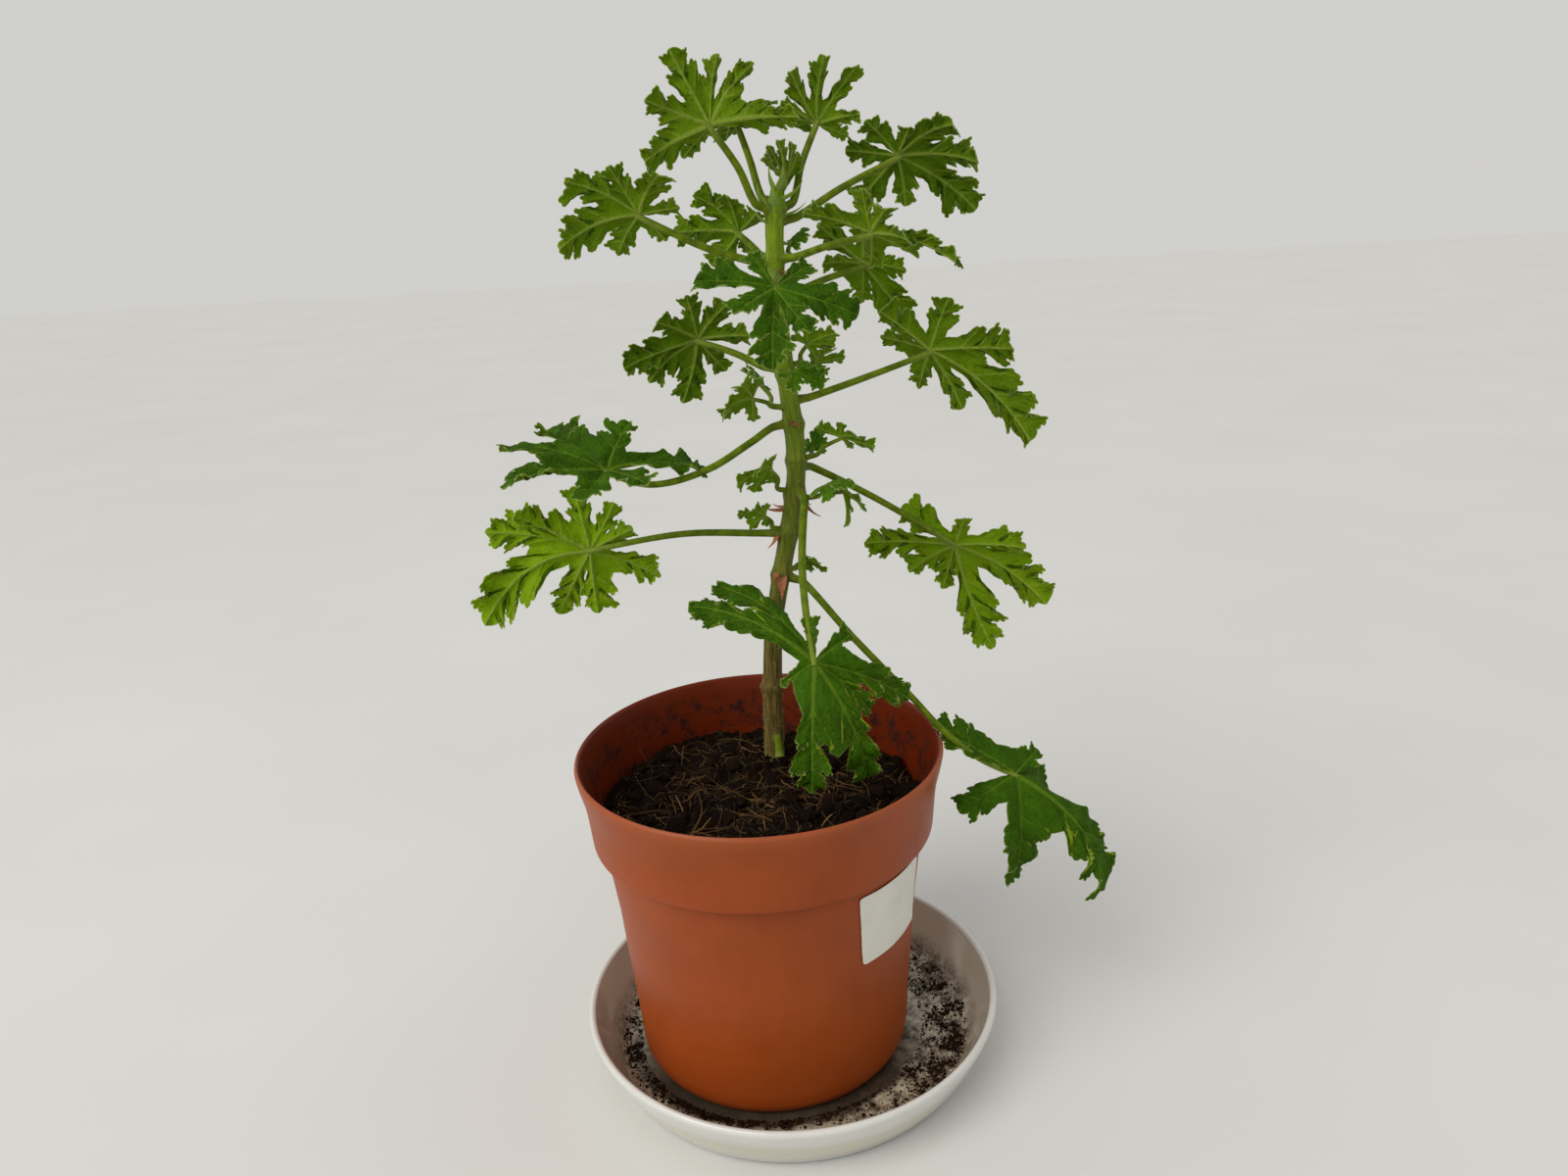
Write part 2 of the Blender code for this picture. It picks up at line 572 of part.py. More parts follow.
def leaf_blade(leaf, seed):
    # the blade's middle surface: points and triangles in the leaf's own frame
    draw = random.Random(seed)
    fold = leaf.get("fold", 0.32)
    lobes = []
    for lobe in leaf.get("lobes", BROAD if leaf["length"] > 20 else SMALL):
        bearing, reach, lift, sweep = (*lobe, 0)[:4]
        reach *= leaf["length"] * draw.uniform(0.97, 1.03)
        lobes.append((bearing + draw.uniform(-2, 2), reach, lift, sweep))
    joins = leaf.get("joins", {})
    points = [leaf_place(leaf, 0, 0, 0, 0)]
    faces = []
    sinuses = [None] * (len(lobes) + 1)
    halves = []
    for i in range(len(lobes) + 1):
        if i == 0 or i == len(lobes):
            bearing, reach, lift, sweep = lobes[0] if i == 0 else lobes[-1]
            half = min(20.0, (360 - lobes[-1][0] + lobes[0][0]) / 2 - 4)
            bearing += -half if i == 0 else half
            radius = 0.22 * reach
        else:
            near, far = lobes[i - 1], lobes[i]
            bearing, _, lift, sweep = ((a + b) / 2 for a, b in zip(near, far))
            half = min((far[0] - near[0]) / 2, leaf.get("widest", WIDEST_HALF_ANGLE))
            radius = joins.get(i, SINUS) * min(near[1], far[1])
        halves.append(half)
        rise = fold * radius * math.sin(math.radians(half))
        points.append(leaf_place(leaf, bearing, radius, rise, lift, sweep))
        sinuses[i] = len(points) - 1
    for i, (bearing, reach, lift, sweep) in enumerate(lobes):
        teeth = LONG_TEETH if reach > LONG_LOBE else SHORT_TEETH if reach > SHORT_LOBE else SINGLE_TEETH
        veins = []
        for station, _, _ in teeth:
            points.append(leaf_place(leaf, bearing, reach * station, 0, lift, sweep))
            veins.append(len(points) - 1)
        points.append(leaf_place(leaf, bearing, reach, 0, lift, sweep))
        veins.append(len(points) - 1)
        for side in (-1, 1):
            spread = math.tan(math.radians(halves[i] if side < 0 else halves[i + 1]))
            previous = sinuses[i] if side < 0 else sinuses[i + 1]
            triangles = [(0, veins[0], previous)]
            for k, (_, tip, notch) in enumerate(teeth):
                ends = []
                for share, width in (tip, notch):
                    u = reach * share
                    v = u * width * spread
                    angle = bearing + side * math.degrees(math.atan2(v, u))
                    points.append(leaf_place(leaf, angle, math.hypot(u, v), fold * v, lift, sweep))
                    ends.append(len(points) - 1)
                triangles += [(veins[k], ends[0], previous), (veins[k], ends[1], ends[0]),
                              (veins[k], veins[k + 1], ends[1])]
                previous = ends[1]
            faces += triangles if side > 0 else [(a, c, b) for a, b, c in triangles]
    return points, faces


def blade_mesh(leaf, seed):
    # gives the blade its thickness, with the same triangles above and below
    points, faces = leaf_blade(leaf, seed)
    normals = [Vector() for _ in points]
    for face in faces:
        a, b, c = (points[k] for k in face)
        normal = (b - a).cross(c - a)
        for k in face:
            normals[k] += normal
    turn = leaf_turn(leaf["aim"])
    base = Vector(leaf["base"])
    bm = bmesh.new()
    layers = []
    for side in (0.5, -0.5):
        layers.append([bm.verts.new(base + turn @ (p + n.normalized() * BLADE_THICK * side))
                       for p, n in zip(points, normals)])
    upper, lower = layers
    for face in faces:
        bm.faces.new([upper[k] for k in face])
        bm.faces.new([lower[k] for k in reversed(face)])
    edges = {}
    for face in faces:
        for a, b in zip(face, face[1:] + face[:1]):
            edges[(a, b)] = True
    for a, b in edges:
        if (b, a) not in edges:
            bm.faces.new((upper[a], lower[a], lower[b]))
            bm.faces.new((upper[a], lower[b], upper[b]))
    return bm


def petiole_mesh(leaf):
    # the leaf's stalk, from a flared foot on the stem's skin into the base of the blade
    base = Vector(leaf["base"])
    x, y, _ = stem_at(leaf["root"])
    bearing = leaf.get("bearing", math.degrees(math.atan2(base.y - y, base.x - x)))
    thick = leaf.get("stalk", STALK_RADIUS)
    start, out = stem_surface(leaf["root"], bearing, GAP, thick * (1 + STALK_FLARE))
    if "start" in leaf:
        out = Vector((0, 0, 1))
        start = Vector(leaf["start"]) + out * GAP
    reach = (base - start).length
    end = base + leaf_turn(leaf["aim"]) @ Vector(STALK_END)
    via = leaf.get("via")
    if not via:
        via = [start.lerp(base, 0.5) + Vector((0, 0, leaf.get("arch", 0.0)))]
    path = smooth_path([start, start + out * min(4.0, reach / 4)] + list(via) + [end], 3 if reach > 30 else 2)
    radii = [thick * (1.0 + STALK_FLARE * math.exp(-2.5 * i) - 0.2 * i / len(path)) for i in range(len(path))]
    return tube(path, radii, STALK_SIDES, out)


def make_leaf(name, leaves, seed, axis, finish):
    pieces = []
    for i, leaf in enumerate(leaves):
        pieces.append(placed(f"{name}_blade_{i}", blade_mesh(leaf, seed + i), axis, finish))
        pieces.append(placed(f"{name}_stalk_{i}", petiole_mesh(leaf), axis, finish))
    return fused(name, pieces)


def build():
    for old in list(bpy.data.objects):
        bpy.data.objects.remove(old, do_unlink=True)
    glaze = material("glazed_ceramic_white", "#ece9e1", 0.15)
    plastic = material("terracotta_plastic", "#a2542f", 0.45)
    peat = material("peat_soil", "#1f1510", 0.95)
    paper = material("sticker_paper", "#e9ebe9", 0.5)
    bark = material("stem_green_brown", "#6b6a34", 0.7)
    leaf_green = material("leaf_green", "#4c7a24", 0.6)
    young_green = material("young_leaf_green", "#5e8f2a", 0.6)

    make_saucer(glaze)
    axis = bpy.data.objects.new("pot_axis", None)
    bpy.context.scene.collection.objects.link(axis)
    axis.location = (POT_AXIS_X * MM, 0, 0)
    make_pot(axis, plastic)
    make_soil(axis, peat)
    make_sticker(axis, paper)
    make_stem(axis, bark)
    make_cut_shoot(axis, young_green)
    for seed, (name, leaf) in enumerate(LEAVES.items()):
        make_leaf(name, [leaf], seed, axis, leaf_green)
    for seed, (name, shoot) in enumerate(SHOOTS.items()):
        root = dict(root=shoot["root"], bearing=shoot["bearing"], stalk=YOUNG_STALK_RADIUS)
        make_leaf(name, [{**root, **leaf} for leaf in shoot["leaves"]], 50 + 5 * seed, axis, young_green)


build()
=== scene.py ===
import math
import random

import bmesh
import bpy
import numpy as np
from mathutils import Matrix, Vector, noise


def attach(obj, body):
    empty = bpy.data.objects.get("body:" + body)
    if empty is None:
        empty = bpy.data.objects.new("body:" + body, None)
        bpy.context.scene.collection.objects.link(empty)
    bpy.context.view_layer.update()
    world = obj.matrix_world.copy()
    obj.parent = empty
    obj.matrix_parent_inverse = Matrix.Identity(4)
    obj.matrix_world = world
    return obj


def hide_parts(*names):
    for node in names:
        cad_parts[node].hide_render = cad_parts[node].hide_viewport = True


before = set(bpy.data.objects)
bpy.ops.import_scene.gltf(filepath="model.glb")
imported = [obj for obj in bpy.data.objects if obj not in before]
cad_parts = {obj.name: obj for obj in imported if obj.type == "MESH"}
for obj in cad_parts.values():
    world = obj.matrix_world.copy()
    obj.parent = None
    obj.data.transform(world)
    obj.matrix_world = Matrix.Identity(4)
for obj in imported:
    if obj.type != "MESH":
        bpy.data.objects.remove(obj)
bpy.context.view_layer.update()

mm = 0.001
potAxisX = -7.0  # the pot stands a little left of the saucer's middle


def linear(colour):
    # sRGB hex to linear RGBA
    parts = [int(colour[i:i + 2], 16) / 255 for i in (1, 3, 5)]
    return [p / 12.92 if p <= 0.04045 else ((p + 0.055) / 1.055) ** 2.4 for p in parts] + [1.0]


def addNode(finish, kind, settings=None, inputs=None, output=0):
    # adds a node, sets its properties and gives each input a number, a hex colour or another node's output
    node = finish.node_tree.nodes.new("ShaderNode" + kind)
    for key, value in (settings or {}).items():
        setattr(node, key, value)
    for key, value in (inputs or {}).items():
        if isinstance(value, bpy.types.NodeSocket):
            finish.node_tree.links.new(value, node.inputs[key])
        else:
            node.inputs[key].default_value = linear(value) if isinstance(value, str) else value
    return node.outputs[output]


def newMaterial(name, roughness, **sockets):
    finish = bpy.data.materials.new(name)
    finish.use_nodes = True
    shader = finish.node_tree.nodes["Principled BSDF"]
    shader.inputs["Roughness"].default_value = roughness
    for key, value in sockets.items():
        shader.inputs[key.replace("_", " ")].default_value = value
    return finish, shader


def wire(finish, shader, sources):
    for socket, source in sources.items():
        finish.node_tree.links.new(source, shader.inputs[socket])


def patchesOf(finish, sizeMm, low, high, detail=3.0, rough=0.55, stretch=None):
    # patches of a size in millimetres, fixed to the object: none below one level and full above the other
    place = addNode(finish, "TexCoord", output="Object")
    if stretch:
        place = addNode(finish, "Mapping", {}, {"Vector": place, "Scale": stretch})
    cloud = addNode(finish, "TexNoise", {}, {"Vector": place, "Scale": 1000 / sizeMm, "Detail": detail,
                                             "Roughness": rough})
    return addNode(finish, "MapRange", {}, {"Value": cloud, "From Min": low, "From Max": high})


def layered(finish, colour, *coats):
    # lays coats of colour over one another, each as far as the product of its shares
    for cover, share, *others in coats:
        for other in others:
            share = addNode(finish, "Math", {"operation": "MULTIPLY"}, {0: share, 1: other})
        colour = addNode(finish, "Mix", {"data_type": "RGBA"}, {0: share, 6: colour, 7: cover}, 2)
    return colour


# shapes are gathered as points and faces, with a tone for each point

# how far a point lies from a vein and from the margin, which face of a blade it is on, and its shade
toneNames = ("vein", "edge", "under", "tone")


def newShape():
    return dict(points=[], faces=[], slots=[], **{key: [] for key in toneNames})


def addTo(shape, points, faces, slot=0, **tones):
    start = len(shape["points"])
    shape["points"].extend(points)
    shape["faces"].extend([tuple(start + i for i in face) for face in faces])
    shape["slots"].extend([slot] * len(faces))
    for key in toneNames:
        value = tones.get(key, 0.0)
        shape[key].extend(value if hasattr(value, "__len__") else [value] * len(points))


def makePiece(name, shape, finishes, node):
    # makes the mesh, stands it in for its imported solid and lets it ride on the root
    mesh = bpy.data.meshes.new(name)
    points = np.array([tuple(p) for p in shape["points"]], float)
    points[:, 0] += potAxisX
    mesh.from_pydata((points * mm).tolist(), [], shape["faces"])
    for key in toneNames:
        tones = mesh.attributes.new(key, "FLOAT", "POINT")
        tones.data.foreach_set("value", np.array(shape[key], np.float32))
    for finish in finishes:
        mesh.materials.append(finish)
    mesh.polygons.foreach_set("material_index", shape["slots"])
    mesh.shade_smooth()
    mesh.set_sharp_from_angle(angle=math.radians(50))
    piece = bpy.data.objects.new(name, mesh)
    bpy.context.scene.collection.objects.link(piece)
    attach(piece, "root")
    if node:
        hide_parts(node)
    return piece


def smoothPath(points, steps):
    # a smooth curve through the given points
    points = [Vector(p) for p in points]
    padded = [2 * points[0] - points[1]] + points + [2 * points[-1] - points[-2]]
    path = []
    for a, b, c, d in zip(padded, padded[1:], padded[2:], padded[3:]):
        leave = (c - a).normalized() * (c - b).length
        arrive = (d - b).normalized() * (c - b).length
        for i in range(steps):
            t = i / steps
            path.append(b * (2 * t ** 3 - 3 * t ** 2 + 1) + leave * (t ** 3 - 2 * t ** 2 + t)
                        + c * (3 * t ** 2 - 2 * t ** 3) + arrive * (t ** 3 - t ** 2))
    return path + [points[-1]]


def frames(path):
    # two cross directions and the run at each point of a path, carried along without twist
    across = None
    crosses = []
    last = len(path) - 1
    for i in range(len(path)):
        tangent = (path[min(i + 1, last)] - path[max(i - 1, 0)]).normalized()
        if across is None:
            across = tangent.orthogonal().normalized()
        across = (across - tangent * across.dot(tangent)).normalized()
        crosses.append((across, tangent.cross(across), tangent))
    return crosses


def ringFaces(rings, sides):
    # the faces that join rings of points into an open tube
    faces = []
    for i in range(rings - 1):
        for k in range(sides):
            a, b = i * sides + k, i * sides + (k + 1) % sides
            faces.append((a, b, b + sides, a + sides))
    return faces


def closedTube(rings, sides):
    ends = [tuple(reversed(range(sides))), tuple((rings - 1) * sides + k for k in range(sides))]
    return ringFaces(rings, sides) + ends


def addTube(shape, path, radii, sides, slot, ridges=0, ridgeDepth=0.0, **tones):
    points = []
    for (across, other, _), centre, radius in zip(frames(path), path, radii):
        for k in range(sides):
            turn = math.tau * k / sides
            r = radius + ridgeDepth * radius * math.cos(ridges * turn)
            points.append(centre + r * (across * math.cos(turn) + other * math.sin(turn)))
    for key, value in tones.items():
        if hasattr(value, "__len__"):
            tones[key] = [v for v in value for _ in range(sides)]
    addTo(shape, points, closedTube(len(path), sides), slot, **tones)


hairRadius = 0.03  # twice that of real down, so that it shows


def addHair(shape, root, way, length, radius, slot):
    # one fine hair, a thin three-sided spike
    side = way.orthogonal().normalized() * radius
    other = way.cross(side)
    ring = [root + side, root - side * 0.5 + other * 0.87, root - side * 0.5 - other * 0.87]
    addTo(shape, ring + [root + way * length], [(0, 1, 3), (1, 2, 3), (2, 0, 3), (2, 1, 0)], slot, tone=0.5)


# main stem

stemShape = dict(
    table=(  # height, x, y, radius
        (74.0, 4.6, 28.0, 3.4), (104.0, 4.9, 28.0, 3.7), (133.0, 5.7, 27.0, 3.6),
        (157.0, 7.3, 26.0, 3.3), (176.0, 11.0, 25.0, 3.3), (194.0, 15.0, 24.0, 3.5),
        (208.0, 17.8, 24.0, 3.4), (219.0, 18.8, 24.0, 3.3), (231.0, 18.4, 24.0, 3.4),
        (250.0, 16.4, 24.0, 3.2), (272.0, 15.0, 24.0, 2.9), (288.0, 14.9, 24.0, 3.0),
        (302.0, 15.4, 24.0, 3.2), (309.0, 17.5, 24.0, 2.2),
    ),
    nodes=(133.0, 178.0, 193.0, 207.0, 219.0, 232.0, 249.0, 275.0, 287.0, 302.0),
    swell=0.7,  # how far the stem thickens at a node
    swellReach=2.2,
    ringReach=0.7,  # the raised ring in the middle of a node
    woody=(140.0, 200.0),  # heights between which the bark gives way to green skin
    ribs=7,
    fineRibs=17,
    hairShare=0.42,
    hairLength=(0.35, 1.0),
    hairRadius=0.032,
    scales=(  # height, bearing, length, droop, half width
        (178.0, 268.0, 9.0, -60.0, 1.7), (193.0, 200.0, 6.0, -55.0, 1.6), (201.0, 182.0, 8.0, 5.0, 1.7),
        (204.0, 350.0, 8.0, -50.0, 1.8), (219.0, 95.0, 5.0, -20.0, 1.6), (232.0, 275.0, 5.0, 10.0, 1.6),
        (281.5, 345.0, 5.0, 10.0, 1.5),
    ),
    greenScales=(  # height, bearing, length, droop
        (302.0, 215.0, 9.0, 62.0), (305.0, 335.0, 9.0, 28.0), (307.0, 80.0, 7.0, 45.0),
        (300.0, 350.0, 8.5, 18.0), (308.0, 200.0, 8.0, 72.0), (303.0, 265.0, 7.5, 55.0),
        (298.0, 190.0, 6.0, 40.0), (308.0, 300.0, 8.0, 70.0), (287.5, 150.0, 4.0, 35.0),
        (250.5, 240.0, 4.0, 30.0), (276.0, 60.0, 4.0, 35.0),
    ),
    foot=92.0,
    step=0.9,
    sides=54,
)


def along(table, z):
    # reads a table between its rows, by the first number of each row
    if z <= table[0][0]:
        return table[0][1:]
    for low, high in zip(table, table[1:]):
        if z <= high[0]:
            t = (z - low[0]) / (high[0] - low[0])
            return tuple(a + (b - a) * t for a, b in zip(low[1:], high[1:]))
    return table[-1][1:]


def stemAt(z):
    return along(stemShape["table"], z)


def stemRadius(z):
    swell = sum(math.exp(-((z - node) / stemShape["swellReach"]) ** 2) for node in stemShape["nodes"])
    return stemAt(z)[2] + stemShape["swell"] * min(swell, 1.0)


def stemSurface(z, bearing, clear, halfHeight=0.0):
    # a point just off the stem's skin and the way out from it
    x, y, _ = stemAt(z)
    out = Vector((math.cos(math.radians(bearing)), math.sin(math.radians(bearing)), 0))
    skin = []
    for level in (z - halfHeight, z, z + halfHeight):
        nearX, nearY, _ = stemAt(level)
        skin.append((nearX - x) * out.x + (nearY - y) * out.y + stemRadius(level))
    return Vector((x, y, z)) + out * (max(skin) + clear), out


def easedStem(z):
    # the stem's axis with the corners of its table rounded off
    rows = [stemAt(z + d) for d in (-6, -3, 0, 3, 6)]
    return [sum(row[i] for row in rows) / len(rows) for i in range(3)]


def rimOf(rows, columns):
    # the points round the edge of a grid of rows, in order
    first = [i * columns for i in range(rows)]
    bottom = [(rows - 1) * columns + j for j in range(1, columns)]
    back = [i * columns + columns - 1 for i in range(rows - 2, -1, -1)]
    return first + bottom + back + list(range(columns - 2, 0, -1))


def addScale(shape, root, out, length, droop, halfWidth, slot, tone):
    # a thin pointed scale that curls along its length
    rows, columns, halfThick, curl = 7, 5, 0.09, 22
    side = out.cross(Vector((0, 0, 1))).normalized()
    points, faces = [], []
    for layer in (halfThick, -halfThick):
        for i in range(rows):
            t = i / (rows - 1)
            angle = math.radians(droop + curl * (t - 0.5))
            way = out * math.cos(angle) + Vector((0, 0, math.sin(angle)))
            up = way.cross(side) * -1
            centre = root + way * length * t
            width = halfWidth * (1 - t ** 1.4) * (1 + 0.25 * math.sin(6 * t)) + 0.06
            for j in range(columns):
                s = 2 * j / (columns - 1) - 1
                points.append(centre + side * s * width + up * (0.35 * width * s * s + layer))
    count = rows * columns
    for i in range(rows - 1):
        for j in range(columns - 1):
            a = i * columns + j
            faces.append((a, a + 1, a + columns + 1, a + columns))
            faces.append((a + count, a + count + columns, a + count + columns + 1, a + count + 1))
    rim = rimOf(rows, columns)
    for a, b in zip(rim, rim[1:] + rim[:1]):
        faces.append((a, a + count, b + count, b))
    addTo(shape, points, faces, slot, tone=tone)


def buildStem(finishes):
    # the ribbed stem with its hairs, the dry scales at its nodes and the green ones round its tip
    shape = newShape()
    draw = random.Random(11)
    sides, step, foot = stemShape["sides"], stemShape["step"], stemShape["foot"]
    woodyEnd, greenStart = stemShape["woody"]
    top = stemShape["table"][-1][0]
    levels = [foot + step * i for i in range(int((top - foot) / step) + 1)] + [top]
    points, tones, hairs = [], [], []
    for z in levels:
        x, y, _ = easedStem(z)
        radius = stemRadius(z)
        woody = 1 - min(1, max(0, (z - woodyEnd) / (greenStart - woodyEnd)))
        ring = max(math.exp(-((z - node) / stemShape["ringReach"]) ** 2) for node in stemShape["nodes"])
        for k in range(sides):
            turn = math.tau * k / sides
            ridge = 0.10 * math.cos(stemShape["ribs"] * turn + 0.012 * z)
            ridge += 0.05 * math.cos(stemShape["fineRibs"] * turn - 0.02 * z)
            rough = noise.noise(Vector((math.cos(turn) * 3, math.sin(turn) * 3, z * 0.10)))
            bark = noise.noise(Vector((math.cos(turn) * 9, math.sin(turn) * 9, z * 0.35)))
            r = radius - 0.12 + ridge * (0.7 + woody) + (0.16 + 0.10 * woody) * rough
            r += 0.10 * woody * bark + 0.12 * ring
            way = Vector((math.cos(turn), math.sin(turn), 0))
            points.append(Vector((x, y, z)) + way * r)
            tones.append(0.6 * ring + 0.25 * rough)
            if draw.random() < stemShape["hairShare"]:
                slant = Vector((0, 0, draw.uniform(-0.5, 0.4)))
                hairs.append((points[-1] - way * 0.05, (way + slant).normalized()))
    addTo(shape, points, closedTube(len(levels), sides), 0, tone=tones)
    for root, way in hairs:
        addHair(shape, root, way, draw.uniform(*stemShape["hairLength"]), stemShape["hairRadius"], 1)
    for z, bearing, length, droop, halfWidth in stemShape["scales"]:
        root, out = stemSurface(z, bearing, -0.6)
        addScale(shape, root, out, length + 0.4, droop, halfWidth, 2, draw.uniform(0.2, 1.0))
        # a smaller scale beside it
        sideways = out.cross(Vector((0, 0, 1)))
        addScale(shape, root + sideways * 1.3 + Vector((0, 0, 1)), (out + 0.5 * sideways).normalized(),
                 length * 0.55, droop * 0.5, halfWidth * 0.6, 2, draw.uniform(0.2, 1.0))
    for z, bearing, length, droop in stemShape["greenScales"]:
        root, out = stemSurface(z, bearing, -0.4)
        addScale(shape, root, out, length, droop, 0.9 + 0.12 * length, 3, 0.5)
    makePiece("mainStem", shape, finishes, "main_stem")
    print("stem made")


# leaves

# a lobe's bearing from the midrib, its share of the leaf's length, how far it is lifted and how far it sweeps
broadLobes = ((-140, 0.60, 0), (-94, 0.72, 0), (-46, 0.90, 0), (0, 1.0, 0), (46, 0.90, 0), (94, 0.72, 0),
              (140, 0.60, 0))
smallLobes = ((-96, 0.62, 0), (-48, 0.85, 0), (0, 1.0, 0), (48, 0.85, 0), (96, 0.62, 0))

# teeth on each side of a lobe: where the side vein branches, the tooth's tip and the notch past it, each
# a share of the lobe's length, then a share of the half angle between two lobes
teethRules = dict(
    long=((0.36, (0.63, 0.94), (0.62, 0.19)), (0.57, (0.82, 0.84), (0.81, 0.22)),
          (0.78, (0.94, 0.56), (0.94, 0.20))),
    short=((0.40, (0.69, 0.98), (0.69, 0.20)), (0.68, (0.92, 0.72), (0.92, 0.22))),
    single=((0.50, (0.82, 0.86), (0.84, 0.22)),),
    longLobe=27.0,
    shortLobe=8.5,
    sinus=0.42,  # how far out two lobes part, as a share of the shorter one
    waist=0.050,  # how far a lobe narrows towards its foot
    widest=23.0,  # half angle of a lobe
    outermost=20.0,  # half angle of the first and last lobes on the side of the stalk
    outerSinus=0.22,
    roundingMm=2.9,  # width of one rounded tooth on the margin
    deepest=1.25,
    samples=4,
)

blade = dict(
    thick=0.38,
    rib=0.42,  # how far the main veins stand out below
    groove=0.14,  # how far they sink in above
    puff=0.45,  # how far the blade swells between its veins
    across=(0.0, 0.03, 0.09, 0.22, 0.42, 0.65, 0.84, 1.0),
    curl=(-0.20, 0.10),  # how far a lobe's sides turn up or down, as a share of its reach
    shingle=0.06,  # one side of a lobe lies above its neighbour and the other below
    tipDrop=(-0.03, 0.08),
    droop=31.0,  # degrees that a lobe bends down from the blade's middle to its tip
    cup=10.0,  # degrees that the blade rises round its middle
    fold=0.32,  # how far the two halves of a lobe are folded up
    ruffle=0.040,
    marginHairsPerMm=1.6,
    hairLength=(0.25, 0.6),
)

